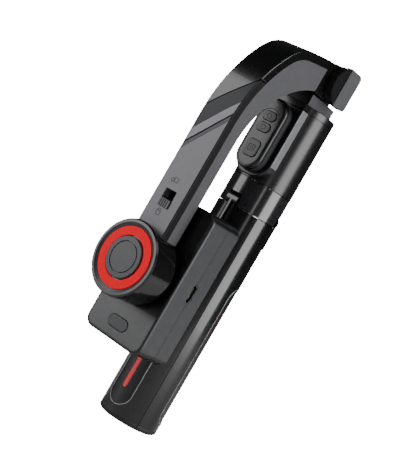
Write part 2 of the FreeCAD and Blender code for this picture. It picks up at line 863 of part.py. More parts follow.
def make_remote_keys():
    """Each key fills its window less a gap, and a flange behind the shell holds it in."""
    for label, (middle, height) in REMOTE_KEYS.items():
        body = new_body(label)
        wall_back = "remote_front - remote_wall"
        half_width = "remote_key_width / 2 - remote_key_gap"
        cap = new_sketch(body, "XZ_Plane", wall_back + " - remote_key_gap")
        draw_rounded_rectangle(cap, half_width, f"{height} / 2 - remote_key_gap", "key_round - remote_key_gap",
                               "0", middle)
        pad(body, cap, "remote_wall + remote_key_gap + remote_key_proud")
        front = value("-remote_front - remote_key_proud")
        round_edges(body, "remote_key_gap", lambda edge: all_points(edge, lambda point: near(point.y, front)))
        flange = new_sketch(body, "XZ_Plane", wall_back + " - remote_key_gap - remote_key_flange")
        draw_rounded_rectangle(flange, half_width + " + 2 * remote_key_gap", f"{height} / 2 + remote_key_gap",
                               "key_round", "0", middle)
        pad(body, flange, "remote_key_flange")


def make_remote_inside():
    board = new_body("remote_board")
    sketch = new_sketch(board, "XZ_Plane", "remote_seam - board_thickness - board_gap")
    remote_slot(sketch, "remote_wall + board_gap")
    pad(board, sketch, "board_thickness")
    cell = new_body("remote_cell")
    disc = new_sketch(cell, "XZ_Plane", "handle_radius + remote_wall")
    draw_circle(disc, "cell_radius", "0", "large_key_middle")
    pad(cell, disc, "cell_thickness")


# ---- arm ---------------------------------------------------------------------------


def arm_front_chain(inset):
    """The arm's outer line from its low end to its top end, moved inwards by the inset.

    It runs straight up, bends along the knee and the crown, and ends in a short straight."""
    knee = f"(knee_radius - ({inset}))"
    crown = f"(crown_radius - ({inset}))"
    front = f"(-arm_front + ({inset}))"
    knee_y = f"({front} + {knee} * (1 - cos(knee_angle)))"
    knee_z = f"(bend_start + {knee} * sin(knee_angle))"
    crown_y = f"({knee_y} + {crown} * (cos(knee_angle) - cos(crown_angle)))"
    crown_z = f"({knee_z} + {crown} * (sin(crown_angle) - sin(knee_angle)))"
    end_z = f"({crown_z} + (-arm_end - {crown_y}) / tan(crown_angle))"
    return [
        (front, "arm_low"),
        (front, "bend_start", knee, -1),
        (knee_y, knee_z, crown, -1),
        (crown_y, crown_z),
        ("-arm_end", end_z),
    ]


def arm_back_chain(inset):
    """The arm's inner line from its top end to its low end, moved forwards by the inset."""
    hook = f"(hook_radius + ({inset}))"
    back = f"(-arm_back - ({inset}))"
    hook_y = f"(-arm_back + hook_radius - {hook} * cos(hook_angle))"
    hook_z = f"(hook_start + {hook} * sin(hook_angle))"
    end_z = f"({hook_z} + (-arm_end - {hook_y}) / tan(hook_angle))"
    return [
        ("-arm_end", end_z),
        (hook_y, hook_z, hook, 1),
        (back, "hook_start"),
        (back, "arm_low"),
    ]


def reversed_chain(chain):
    """The same line walked the other way, so each arc belongs to its other end."""
    result = []
    for index in range(len(chain) - 1, -1, -1):
        point = chain[index][:2]
        arc = chain[index - 1][2:] if index else ()
        result.append(point + ((arc[0], -arc[1]) if arc else ()))
    return result


def cut_round_motor(body):
    sketch = new_sketch(body, "XZ_Plane")
    draw_circle(sketch, "motor_radius", "0", "motor_height")
    pocket(body, sketch, "motor_front + motor_wall", backwards=True)


def slanted_line(half, height):
    """The two ends of a line that climbs to the right, its middle at the height."""
    rise = f"({half}) * tan(groove_slope)"
    return (f"-({half})", f"{height} - {rise}"), (half, f"{height} + {rise}")


def draw_slanted_band(sketch, low, high):
    """A slanted band right across the arm between two heights at its middle."""
    half = "arm_width"
    left_low, right_low = slanted_line(half, f"({low})")
    left_high, right_high = slanted_line(half, f"({high})")
    draw_outline(sketch, [left_low, right_low, right_high, left_high])


def make_arm_cover(label, removed_low, removed_high):
    """One of the arm's two front covers, less the slanted band that is not its own."""
    body = new_body(label)
    sketch = new_sketch(body, "YZ_Plane")
    draw_outline(sketch, arm_front_chain("0") + reversed_chain(arm_front_chain("cover_depth")))
    pad(body, sketch, "arm_width", both_ways=True)
    side = value("arm_width / 2")
    round_edges(body, "arm_edge_round", lambda edge: all_points(
        edge, lambda point: near(abs(point.x), side) and near(front_distance(point), 0)))
    split = new_sketch(body, "XZ_Plane")
    draw_slanted_band(split, removed_low, removed_high)
    pocket(body, split, "2 * arm_front", both_ways=True)
    return body


def make_arm_covers():
    """The lower cover, with its groove and the lock's slot, and the cover over the bend."""
    tall = "groove_width / cos(groove_slope)"
    lower = make_arm_cover("arm_front_cover", f"groove_high - {tall} / 2", "2 * fold_height")
    cut_round_motor(lower)
    slot = new_sketch(lower, "XZ_Plane", "arm_front")
    draw_rounded_rectangle(slot, "lock_slot_width / 2", "lock_slot_height / 2", "lock_gap", "0", "lock_height")
    pocket(lower, slot, "cover_depth")
    groove = new_sketch(lower, "XZ_Plane", "arm_front")
    draw_slanted_band(groove, "groove_low", f"groove_low + {tall}")
    pocket(lower, groove, "groove_depth")
    make_arm_cover("arm_top_cover", "0", f"groove_high + {tall} / 2")


def front_distance(point):
    """How far a point lies from the arm's outer line."""
    front, bend = value("-arm_front"), value("bend_start")
    if point.z <= bend:
        return abs(point.y - front)
    knee, crown = value("knee_radius"), value("crown_radius")
    knee_angle = math.radians(value("knee_angle"))
    crown_angle = math.radians(value("crown_angle"))
    knee_centre = FreeCAD.Vector(0, front + knee, bend)
    knee_end = knee_centre + FreeCAD.Vector(0, -math.cos(knee_angle), math.sin(knee_angle)) * knee
    if point.z <= knee_end.z:
        return abs(math.hypot(point.y - knee_centre.y, point.z - knee_centre.z) - knee)
    crown_centre = knee_end + FreeCAD.Vector(0, math.cos(knee_angle), -math.sin(knee_angle)) * crown
    crown_end = crown_centre + FreeCAD.Vector(0, -math.cos(crown_angle), math.sin(crown_angle)) * crown
    if point.y <= crown_end.y:
        return abs(math.hypot(point.y - crown_centre.y, point.z - crown_centre.z) - crown)
    slope = 1 / math.tan(crown_angle)
    return abs(crown_end.z + (point.y - crown_end.y) * slope - point.z)


def make_arm_shell():
    """The arm's rear half, hollow for the motor's cable, open towards the cover."""
    body = new_body("arm_rear_shell")
    sketch = new_sketch(body, "YZ_Plane")
    draw_outline(sketch, arm_front_chain("cover_depth") + arm_back_chain("0"))
    pad(body, sketch, "arm_width", both_ways=True)
    hollow = new_sketch(body, "YZ_Plane")
    room = arm_front_chain("cover_depth")[:-1] + [("-arm_end - 3 * arm_wall", "hook_start + hook_radius + arm_wall")]
    draw_outline(hollow, room + arm_back_chain("arm_wall")[1:])
    pocket(body, hollow, "arm_width - 2 * arm_wall", both_ways=True)
    cut_round_motor(body)


def make_yoke():
    """Two cheeks either side of the neck and the bridge that joins them to the arm's end."""
    body = new_body("hinge_yoke")
    sketch = new_sketch(body, "YZ_Plane")
    cheeks = "(neck_width + 2 * fold_side_gap + 2 * yoke_cheek)"
    draw_outline(sketch, [
        ("-arm_end", "fold_height - yoke_drop"),
        ("-yoke_foot", "fold_height - yoke_drop"),
        ("-yoke_foot", "fold_height - sqrt(fold_knuckle_radius ^ 2 - yoke_foot ^ 2)", "fold_knuckle_radius", 1),
        ("fold_knuckle_radius", "fold_height", "fold_knuckle_radius", 1),
        ("0", "fold_height + fold_knuckle_radius"),
        ("-arm_end", "fold_height + yoke_rise"),
    ])
    pad(body, sketch, cheeks, both_ways=True)
    gap = new_sketch(body, "YZ_Plane")
    draw_rectangle(gap, "-arm_end + yoke_bridge", "2 * fold_knuckle_radius",
                   "fold_height - 2 * yoke_drop", "fold_height + 2 * yoke_rise")
    pocket(body, gap, "neck_width + 2 * fold_side_gap", both_ways=True)
    bridge = new_sketch(body, "YZ_Plane")
    draw_rectangle(bridge, "-arm_end", "-arm_end + yoke_bridge",
                   "fold_height - yoke_drop", "fold_height + yoke_rise")
    pad(body, bridge, "arm_width", both_ways=True)
    hole = new_sketch(body, "YZ_Plane")
    draw_circle(hole, "fold_pin_radius", "0", "fold_height")
    pocket(body, hole, cheeks, both_ways=True)


YOKE_SIDE = "(neck_width / 2 + fold_side_gap + yoke_cheek)"


def make_fold_bolt():
    """The hinge's bolt: its head is on the left cheek, its end carries the lever."""
    shank = cylinder("bolt_shank", "fold_pin_radius", f"2 * {YOKE_SIDE} + lever_gap + lever_disc_thickness / 2",
                     f"-{YOKE_SIDE}", "0", "fold_height", "x")
    head = cylinder("bolt_head", "bolt_head_radius", "bolt_head_height",
                    f"-{YOKE_SIDE} - bolt_head_height", "0", "fold_height", "x")
    return finish_node(fuse("fold_bolt", shank, head), "fold_bolt")


def make_fold_lever():
    """The lever that clamps the fold: a half disc in front and a taller plate behind."""
    body = new_body("fold_lever")
    start = f"{YOKE_SIDE} + lever_gap"
    rise = "sqrt(lever_radius ^ 2 - lever_chord ^ 2)"
    disc = new_sketch(body, "YZ_Plane", start)
    draw_outline(disc, [
        ("-lever_chord", f"fold_height + {rise}", "lever_radius", 1),
        ("-lever_radius", "fold_height", "lever_radius", 1),
        ("-lever_chord", f"fold_height - {rise}"),
        ("0", f"fold_height - {rise}"),
        ("0", f"fold_height + {rise}"),
    ])
    pad(body, disc, "lever_disc_thickness")
    plate = new_sketch(body, "YZ_Plane", start + " + lever_plate_start")
    high, low = "fold_height + lever_half_height", "fold_height - lever_half_height"
    draw_outline(plate, [
        ("-lever_chord", low),
        ("lever_tail - lever_corner", low, "lever_corner", 1),
        ("lever_tail", f"{low} + lever_corner"),
        ("lever_tail", f"{high} - lever_corner", "lever_corner", 1),
        ("lever_tail - lever_corner", high),
        ("-lever_chord", high),
    ])
    pad(body, plate, "lever_plate_thickness")
    hole = new_sketch(body, "YZ_Plane", start)
    draw_circle(hole, "fold_pin_radius + running_gap", "0", "fold_height")
    pocket(body, hole, "lever_disc_thickness / 2 + running_gap", backwards=True)


def make_lock_slider():
    """The ribbed knob in the arm's slot, at its lower end, with a flange behind the cover."""
    body = new_body("lock_slider")
    half_width = "lock_slot_width / 2 - lock_gap"
    middle = "(lock_height - lock_slot_height / 2 + lock_gap + lock_knob_height / 2)"
    cover_back = "arm_front - cover_depth"
    knob = new_sketch(body, "XZ_Plane", cover_back + " - lock_gap")
    draw_rectangle(knob, f"-({half_width})", half_width,
                   f"{middle} - lock_knob_height / 2", f"{middle} + lock_knob_height / 2")
    pad(body, knob, "cover_depth + lock_gap + lock_proud")
    flange = new_sketch(body, "XZ_Plane", cover_back + " - lock_gap - lock_flange")
    draw_rectangle(flange, "-lock_slot_width / 2 - lock_flange", "lock_slot_width / 2 + lock_flange",
                   f"{middle} - lock_knob_height / 2", f"{middle} + lock_knob_height")
    pad(body, flange, "lock_flange")
    for rib in range(SIZES["lock_rib_count"]):
        groove = new_sketch(body, "XZ_Plane", "arm_front + lock_proud")
        centre = f"(({rib} + 1) / (lock_rib_count + 1) - 0.5) * 2 * ({half_width})"
        draw_rectangle(groove, f"{centre} - lock_rib_width / 2", f"{centre} + lock_rib_width / 2",
                       f"{middle} - lock_knob_height", f"{middle} + lock_knob_height")
        pocket(body, groove, "lock_rib_depth")


# ---- motor -------------------------------------------------------------------------


FACE = "-motor_front + motor_face"
PLATE_BACK = "-motor_front + motor_face + motor_plate"


def make_motor_housing():
    """The motor's can, with an open back and a boss inside that holds the bearings."""
    lip = "motor_rim_radius - motor_rim_lip"
    turned("motor_housing", [
        ("0", FACE),
        (lip, FACE),
        (lip, "-motor_front"),
        ("motor_rim_radius - motor_rim_chamfer", "-motor_front"),
        ("motor_rim_radius", "-motor_front + motor_rim_chamfer"),
        ("motor_rim_radius", "-motor_front + motor_rim_depth"),
        ("motor_radius", "-motor_front + motor_rim_depth"),
        ("motor_radius", "-motor_back - motor_back_round", "motor_back_round", 1),
        ("motor_radius - motor_back_round", "-motor_back"),
        ("motor_back_opening", "-motor_back"),
        ("motor_back_opening", "-motor_back - motor_back_lip"),
        ("motor_radius - motor_wall", "-motor_back - motor_back_lip"),
        ("motor_radius - motor_wall", PLATE_BACK),
        ("boss_radius", PLATE_BACK),
        ("boss_radius", "-boss_end"),
        ("bearing_radius", "-boss_end"),
        ("bearing_radius", PLATE_BACK),
        ("0", PLATE_BACK),
    ], "Y", z="motor_height")


def make_motor_trim():
    """The rings and the hub on the motor's face."""
    lip = "motor_rim_radius - motor_rim_lip"
    turned("motor_face_ring", [
        ("face_ring_inner + ring_gap", FACE),
        (lip, FACE),
        (lip, "-motor_front + ring_gap"),
        ("face_ring_inner + ring_gap", "-motor_front + ring_gap + face_ring_slope"),
    ], "Y", z="motor_height")
    turned("motor_red_ring", [
        ("red_ring_inner", FACE),
        ("face_ring_inner", FACE),
        ("face_ring_inner", FACE + " - red_ring_thickness"),
        ("red_ring_inner", FACE + " - red_ring_thickness"),
    ], "Y", z="motor_height")
    front = FACE + " - hub_thickness"
    turned("motor_hub", [
        ("0", FACE),
        ("hub_radius", FACE),
        ("hub_radius", front + " + hub_groove_depth / 2"),
        ("hub_radius - hub_groove_depth / 2", front),
        ("hub_groove_radius + hub_groove_width", front),
        ("hub_groove_radius + hub_groove_width", front + " + hub_groove_depth"),
        ("hub_groove_radius", front + " + hub_groove_depth"),
        ("hub_groove_radius", front),
        ("0", front),
    ], "Y", z="motor_height")


def make_motor_inside():
    bearings = []
    for name, start in (("front", PLATE_BACK), ("rear", "-boss_end - bearing_width")):
        outside = cylinder("bearing_outside_" + name, "bearing_radius", "bearing_width",
                           "0", start, "motor_height", "y")
        bore = cylinder("bearing_bore_" + name, "shaft_radius + running_gap", "bearing_width",
                        "0", start, "motor_height", "y")
        bearings.append(cut("bearing_" + name, outside, bore))
    finish_node(compound("motor_bearings", *bearings), "motor_bearings")
    stator = new_body("motor_stator", z="motor_height")
    ring = new_sketch(stator, "XZ_Plane", "boss_end + board_thickness")
    draw_circle(ring, "stator_radius")
    draw_circle(ring, "boss_radius")
    pad(stator, ring, "stator_length")
    slot = new_sketch(stator, "XZ_Plane", "boss_end + board_thickness")
    draw_rectangle(slot, "-stator_slot_width / 2", "stator_slot_width / 2",
                   "stator_radius - stator_slot_depth", "stator_radius + stator_slot_width")
    first = pocket(stator, slot, "stator_length", backwards=True)
    pattern = stator.newObject("PartDesign::PolarPattern", "stator_slots_round")
    pattern.Originals = [first]
    pattern.Axis = (origin_feature(stator, "Y_Axis"), [""])
    pattern.Angle = 360
    bind(pattern, Occurrences="stator_slots")
    stator.Tip = pattern
    turned("motor_rotor", [
        ("0", PLATE_BACK + " + board_gap"),
        ("shaft_radius", PLATE_BACK + " + board_gap"),
        ("shaft_radius", "-boss_end + board_gap + running_gap"),
        ("bell_radius - bell_wall", "-boss_end + board_gap + running_gap"),
        ("bell_radius - bell_wall", PLATE_BACK + " + bell_base"),
        ("bell_radius", PLATE_BACK + " + bell_base"),
        ("bell_radius", "-boss_end + bell_base"),
        ("rotor_neck_radius", "-boss_end + bell_base"),
        ("rotor_neck_radius", "-mount_front"),
        ("0", "-mount_front"),
    ], "Y", z="motor_height")


# ---- phone holder ------------------------------------------------------------------


def holder_outline(sketch, inset="0"):
    draw_rounded_rectangle(sketch, f"mount_width / 2 - ({inset})", f"mount_height / 2 - ({inset})",
                           f"mount_corner - ({inset})", "0", "motor_height")


def key_slot(sketch, growth="0"):
    reach = "(key_length - key_width) / 2"
    draw_slot(sketch, f"key_width / 2 + ({growth})",
              (f"-{reach}", "motor_height - key_drop"), (reach, "motor_height - key_drop"))


def socket_slot(sketch, growth="0"):
    reach = "(socket_length - socket_height) / 2"
    draw_slot(sketch, f"socket_height / 2 + ({growth})",
              ("-mount_seam", f"motor_height - {reach}"), ("-mount_seam", f"motor_height + {reach}"))


def cut_socket(body):
    sketch = new_sketch(body, "YZ_Plane", "mount_width / 2 - mount_wall - socket_wall")
    socket_slot(sketch, "board_gap")
    pocket(body, sketch, "2 * mount_wall", backwards=True)


def round_outer_rim(body, depth):
    level = value(depth)
    round_edges(body, "mount_front_round", lambda edge: all_points(edge, lambda point: near(point.y, level)))


def make_mount_front():
    body = new_body("mount_front_shell")
    sketch = new_sketch(body, "XZ_Plane", "mount_seam")
    holder_outline(sketch)
    pad(body, sketch, "mount_front - mount_seam")
    round_outer_rim(body, "-mount_front")
    hollow = new_sketch(body, "XZ_Plane", "mount_seam")
    holder_outline(hollow, "mount_wall")
    pocket(body, hollow, "mount_front - mount_seam - mount_wall", backwards=True)
    recess = new_sketch(body, "XZ_Plane", "mount_front")
    holder_outline(recess, "plate_inset")
    pocket(body, recess, "plate_thickness")
    window = new_sketch(body, "XZ_Plane", "mount_front")
    key_slot(window, "key_gap")
    pocket(body, window, "mount_wall + plate_thickness")
    cut_socket(body)


def make_mount_plate():
    body = new_body("mount_face_plate")
    sketch = new_sketch(body, "XZ_Plane", "mount_front - plate_thickness")
    holder_outline(sketch, "plate_inset + plate_gap")
    pad(body, sketch, "plate_thickness")
    window = new_sketch(body, "XZ_Plane", "mount_front")
    key_slot(window, "key_gap")
    pocket(body, window, "plate_thickness")


def make_mount_rear():
    """The rear shell, with the channel along its back that both jaws slide in."""
    body = new_body("mount_rear_shell")
    sketch = new_sketch(body, "XZ_Plane", "mount_back")
    holder_outline(sketch)
    pad(body, sketch, "mount_seam - mount_back - seam_gap")
    round_outer_rim(body, "-mount_back")
    hollow = new_sketch(body, "XZ_Plane", "mount_seam - seam_gap")
    holder_outline(hollow, "mount_wall")
    pocket(body, hollow, "mount_seam - mount_back - seam_gap - channel_depth - jaw_thickness")
    channel = new_sketch(body, "XZ_Plane", "mount_back")
    draw_rectangle(channel, "-channel_width / 2", "channel_width / 2",
                   "motor_height - mount_height", "motor_height + mount_height")
    pocket(body, channel, "channel_depth", backwards=True)
    cut_socket(body)


def make_function_key():
    body = new_body("function_key")
    wall_back = "mount_front - mount_wall"
    cap = new_sketch(body, "XZ_Plane", wall_back + " - key_gap")
    key_slot(cap)
    pad(body, cap, "mount_wall + key_gap + key_proud")
    front = value("-mount_front - key_proud")
    round_edges(body, "key_gap", lambda edge: all_points(edge, lambda point: near(point.y, front)))
    flange = new_sketch(body, "XZ_Plane", wall_back + " - key_gap - key_flange")
    key_slot(flange, "key_flange")
    pad(body, flange, "key_flange")


def make_charge_port():
    """The socket's metal sleeve, closed at its inner end, with the tongue inside."""
    body = new_body("charge_port")
    start = "mount_width / 2 - socket_recess - socket_depth"
    outside = new_sketch(body, "YZ_Plane", start)
    socket_slot(outside)
    pad(body, outside, "socket_depth")
    inside = new_sketch(body, "YZ_Plane", start + " + 2 * socket_wall")
    socket_slot(inside, "-socket_wall")
    pocket(body, inside, "socket_depth", backwards=True)
    tongue = new_sketch(body, "YZ_Plane", start + " + socket_wall")
    half = "socket_tongue / 2"
    reach = "(socket_length - socket_height) / 2"
    draw_rectangle(tongue, f"-mount_seam - {half}", f"-mount_seam + {half}",
                   f"motor_height - {reach}", f"motor_height + {reach}")
    pad(body, tongue, "socket_depth - 3 * socket_wall")


def make_mount_inside():
    board_front = "mount_front - circuit_setback"
    board = box("control_board", "circuit_width", "board_thickness", "circuit_height",
                "-circuit_width / 2", f"-({board_front})", "motor_height - circuit_height / 2")
    board.Label = "control_board"
    nodes.append(board)
    battery = box("battery", "battery_width", "battery_depth", "battery_height", "-battery_width / 2",
                  f"-({board_front}) + 2 * board_thickness",
                  "motor_height - battery_drop - battery_height / 2")
    battery.Label = "battery"
    nodes.append(battery)
    rolls = []
    for name, side in (("left", -1), ("right", 1)):
        x = f"{side} * channel_width / 3"
        z = "motor_height + spring_roll_offset"
        start = f"-({board_front}) + 2 * board_thickness"
        outside = cylinder("roll_outside_" + name, "spring_roll_radius", "spring_roll_width", x, start, z, "y")
        bore = cylinder("roll_bore_" + name, "spring_roll_hole", "spring_roll_width", x, start, z, "y")
        rolls.append(cut("roll_" + name, outside, bore))
    finish_node(compound("jaw_springs", *rolls), "jaw_springs")


def outward(up, distance):
    """A height, measured from the motor's axis towards the upper or the lower end."""
    return f"motor_height + {1 if up else -1} * ({distance})"


def draw_band(sketch, half_width, up, near_end, far_end):
    low, high = outward(up, near_end), outward(up, far_end)
    if not up:
        low, high = high, low
    draw_rectangle(sketch, f"-({half_width})", half_width, low, high)


def make_jaw(side, up):
    """A sliding jaw: a thin plate in the channel and an end block with ears for the claw."""
    body = new_body(side + "_jaw")
    floor = "mount_back + channel_depth - jaw_gap"
    end = "mount_height / 2"
    half_width = "channel_width / 2 - jaw_gap"
    plate = new_sketch(body, "XZ_Plane", floor + " - jaw_thickness")
    draw_band(plate, half_width, up, "jaw_middle_gap / 2", end)
    pad(body, plate, "jaw_thickness")
    block = new_sketch(body, "XZ_Plane", "mount_back")
    draw_band(block, half_width, up, end + " - jaw_block", end)
    pad(body, block, "channel_depth - jaw_gap")
    slot = new_sketch(body, "XZ_Plane", "mount_back")
    draw_band(slot, "claw_width / 2 + jaw_gap", up, "0", end + " + jaw_block")
    pocket(body, slot, "channel_depth - jaw_gap - jaw_thickness", backwards=True)
    hole = new_sketch(body, "YZ_Plane")
    draw_circle(hole, "claw_pin_radius", "-mount_back - claw_barrel_radius", outward(up, end + " - claw_pivot_inset"))
    pocket(body, hole, "channel_width", both_ways=True)


def make_claw(side, up):
    """The claw that folds out to hold the phone's edge, its pin, and its rubber pad."""
    pivot = "mount_height / 2 - claw_pivot_inset"
    body = new_body(side + "_claw")
    plate = new_sketch(body, "XZ_Plane", "mount_back")
    draw_band(plate, "claw_width / 2", up, pivot + " - claw_length", pivot)
    pad(body, plate, "claw_thickness")
    barrel = new_sketch(body, "YZ_Plane")
    draw_circle(barrel, "claw_barrel_radius", "-mount_back - claw_barrel_radius", outward(up, pivot))
    pad(body, barrel, "claw_width", both_ways=True)
    pin = new_sketch(body, "YZ_Plane")
    draw_circle(pin, "claw_pin_radius - running_gap", "-mount_back - claw_barrel_radius", outward(up, pivot))
    pad(body, pin, "channel_width - 4 * jaw_gap", both_ways=True)
    cushion = new_body(side + "_claw_cushion")
    sketch = new_sketch(cushion, "XZ_Plane", "mount_back + claw_thickness")
    draw_band(sketch, "claw_width / 2 - claw_pad_margin", up,
              pivot + " - claw_length + claw_pad_margin", pivot + " - 2 * claw_pad_margin")
    pad(cushion, sketch, "claw_pad_thickness")


make_collar()
make_leg_pins()
make_fixed_tube()
make_stages()
for leg_label, leg_turn in LEG_TURNS.items():
    make_leg(leg_label, leg_turn)
    make_leg_foot(leg_label.replace("leg", "leg_foot"), leg_turn)
    make_leg_pad(leg_label.replace("leg", "leg_pad"), leg_turn)
    make_leg_strip(leg_label.replace("leg", "leg_strip"), leg_turn)
make_sleeve()
make_head()
make_neck()
make_remote_front()
make_remote_back()
make_remote_keys()
make_remote_inside()
make_arm_covers()
make_arm_shell()
make_yoke()
make_fold_bolt()
make_fold_lever()
make_lock_slider()
make_motor_housing()
make_motor_trim()
make_motor_inside()
make_mount_front()
make_mount_plate()
make_mount_rear()
make_function_key()
make_charge_port()
make_mount_inside()
for jaw_side, is_upper in (("upper", True), ("lower", False)):
    make_jaw(jaw_side, is_upper)
    make_claw(jaw_side, is_upper)

# ---- check and write ---------------------------------------------------------------


def check_document():
    doc.recompute()
    failed = [thing.Label for thing in doc.Objects if {"Invalid", "Error"} & set(thing.State)]
    failed += [node.Label for node in nodes if node.Shape.isNull() or not node.Shape.isValid()]
    if failed:
        raise ValueError("failed: " + ", ".join(failed))


def write_nodes():
    os.makedirs("parts", exist_ok=True)
    for node in nodes:
        node.Shape.exportStep("parts/%s.step" % node.Label)
    print(len(nodes), "nodes written")


check_document()
write_nodes()
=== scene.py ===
# %% [markdown]
# # A folding phone gimbal, finished in Blender
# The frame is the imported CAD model: every solid is already in place, in metres, standing on
# Z = 0 with its front towards -Y. This lesson gives each solid a real finish, adds the thin
# details that CAD left out, and lights the object as a small studio would.

# %% Load the model
import math

import bmesh
import bpy
from mathutils import Matrix, Vector


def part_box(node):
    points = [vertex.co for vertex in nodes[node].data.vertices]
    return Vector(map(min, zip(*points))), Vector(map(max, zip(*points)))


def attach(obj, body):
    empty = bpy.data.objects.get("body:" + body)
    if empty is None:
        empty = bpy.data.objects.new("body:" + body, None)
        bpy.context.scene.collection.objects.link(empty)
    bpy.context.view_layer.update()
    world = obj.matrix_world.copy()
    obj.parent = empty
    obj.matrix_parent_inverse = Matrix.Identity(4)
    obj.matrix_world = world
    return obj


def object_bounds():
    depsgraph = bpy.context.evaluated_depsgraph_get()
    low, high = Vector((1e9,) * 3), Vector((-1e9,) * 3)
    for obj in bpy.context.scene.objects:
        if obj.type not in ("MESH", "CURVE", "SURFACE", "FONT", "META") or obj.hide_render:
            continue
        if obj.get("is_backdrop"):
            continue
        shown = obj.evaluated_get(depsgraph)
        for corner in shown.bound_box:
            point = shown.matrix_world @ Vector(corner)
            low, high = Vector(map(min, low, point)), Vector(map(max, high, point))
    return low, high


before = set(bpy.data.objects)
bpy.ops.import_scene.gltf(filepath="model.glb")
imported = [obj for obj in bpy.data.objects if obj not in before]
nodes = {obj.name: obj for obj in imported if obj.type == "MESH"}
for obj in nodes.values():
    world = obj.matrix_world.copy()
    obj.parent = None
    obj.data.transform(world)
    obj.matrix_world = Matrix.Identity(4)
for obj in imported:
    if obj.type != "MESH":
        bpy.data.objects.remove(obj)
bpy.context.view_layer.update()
MM = 0.001

# %% [markdown]
# ## Two small helpers
# Colours are picked in sRGB, as any paint chart gives them, but Blender shades in linear light,
# so one function turns a hex value to linear. Node trees are long to write by hand, so another
# adds any node at all, with its settings and its links.

# %% Helpers for colours and nodes
def linear(hex_colour):
    """A linear RGBA colour from a sRGB hex value such as #808080."""
    channels = [int(hex_colour[start:start + 2], 16) / 255 for start in (1, 3, 5)]
    return [c / 12.92 if c <= 0.04045 else ((c + 0.055) / 1.055) ** 2.4 for c in channels] + [1.0]


def add_node(tree, kind, settings=(), inputs=()):
    """A node with its settings, and inputs that are values or other nodes' outputs."""
    node = tree.nodes.new(kind)
    for name, setting in dict(settings).items():
        setattr(node, name, setting)
    for name, given in dict(inputs).items():
        if isinstance(given, bpy.types.NodeSocket):
            tree.links.new(given, node.inputs[name])
        else:
            node.inputs[name].default_value = given
    return node


print("mid grey in linear light:", round(linear("#808080")[0], 3))

# %% [markdown]
# ## A surface with a grain
# No moulded or painted part is perfectly even. Moulded ABS takes the mould's spark-eroded
# texture, a few tenths of a millimetre across, and paint shows an orange peel. One builder
# makes them all: a fine noise moves the roughness and the bump, and a broad one, in patches
# of about 17 mm, moves the colour. The grain is given in millimetres, and it is drawn coarser
# than life where life would not show.

# %% The grained surface
PATCHES_PER_METRE = 60.0
BUMP_STRENGTH = 0.6


def grained(name, colour, deeper, roughness, grain_mm, bump_mm, spread, **shader):
    """A material with a fine grain in its roughness and bump, and a broad change of colour."""
    material = bpy.data.materials.new(name)
    material.use_nodes = True
    tree = material.node_tree
    tree.nodes.clear()
    place = add_node(tree, "ShaderNodeTexCoord")
    fine = add_node(tree, "ShaderNodeTexNoise", {}, {
        "Vector": place.outputs["Object"], "Scale": 1 / (grain_mm * MM), "Detail": 3.0})
    broad = add_node(tree, "ShaderNodeTexNoise", {}, {
        "Vector": place.outputs["Object"], "Scale": PATCHES_PER_METRE, "Detail": 2.0})
    tint = add_node(tree, "ShaderNodeMix", {"data_type": "RGBA"}, {
        0: broad.outputs["Fac"], 6: linear(colour), 7: linear(deeper)})
    rough = add_node(tree, "ShaderNodeMapRange", {}, {
        "Value": fine.outputs["Fac"], "To Min": roughness - spread, "To Max": roughness + spread})
    bump = add_node(tree, "ShaderNodeBump", {}, {
        "Height": fine.outputs["Fac"], "Distance": bump_mm * MM, "Strength": BUMP_STRENGTH})
    skin = add_node(tree, "ShaderNodeBsdfPrincipled", {}, {
        "Base Color": tint.outputs[2], "Roughness": rough.outputs["Result"],
        "Normal": bump.outputs["Normal"]})
    for socket, number in shader.items():
        label = socket.replace("_", " ").title().replace("Ior", "IOR")
        skin.inputs[label].default_value = number
    add_node(tree, "ShaderNodeOutputMaterial", {}, {"Surface": skin.outputs["BSDF"]})
    return material


def dress(material, *names):
    """Give CAD nodes a material in place of the one they were packed with."""
    for name in names:
        mesh = nodes[name].data
        mesh.materials.clear()
        mesh.materials.append(material)
    print(material.name, "on", len(names), "nodes")


print("a colour patch is about", round(1000 / PATCHES_PER_METRE), "mm across")

# %% [markdown]
# ## Black plastics
# Most of the body is injection-moulded ABS, and what differs is the mould. A polished mould
# leaves a skin that mirrors the studio lights in long clean streaks, and a satin one spreads
# the same streaks wider. Spark erosion leaves fine pits, which soften them again. All of them
# share one dark colour, so the roughness and the grain are what tell them apart.

# %% Black plastics
# A polished mould: long clean streaks, and near black between them.
gloss_black = grained("polished_black_abs", "#070708", "#040405", roughness=0.2,
                      grain_mm=0.6, bump_mm=0.0006, spread=0.02, coat_weight=0.2)
# A spark-eroded mould: an even black with a soft sheen and a fine grain.
remote_black = grained("spark_eroded_remote_abs", "#0a0a0c", "#070708", roughness=0.3,
                       grain_mm=0.4, bump_mm=0.002, spread=0.04)
# Buffed after moulding: a charcoal under a thin bright gloss.
collar_black = grained("burnished_collar_abs", "#1c1c1e", "#161618", roughness=0.2,
                       grain_mm=0.35, bump_mm=0.001, spread=0.03, coat_weight=0.5)
# A satin mould: the same streaks as the polished skin, only wider and softer.
satin_black = grained("satin_black_abs", "#0f0f11", "#0a0a0c", roughness=0.26,
                      grain_mm=0.35, bump_mm=0.002, spread=0.04)
dress(gloss_black, "leg_1", "leg_2", "leg_3", "arm_top_cover", "motor_housing", "hinge_yoke",
      "lock_slider")
dress(remote_black, "remote_front_shell")
dress(collar_black, "collar")
dress(satin_black, "head_cap", "head_core", "base_plug")

# %% [markdown]
# ## Rubbers
# The grip pads and the claws' cushions are a soft rubber that the hand or the phone presses on.
# The feet are a harder one. Rubber is as dark as the plastic round it, and only its broad dull
# sheen shows where one ends and the other begins, so its grain is coarse and its bump deep.

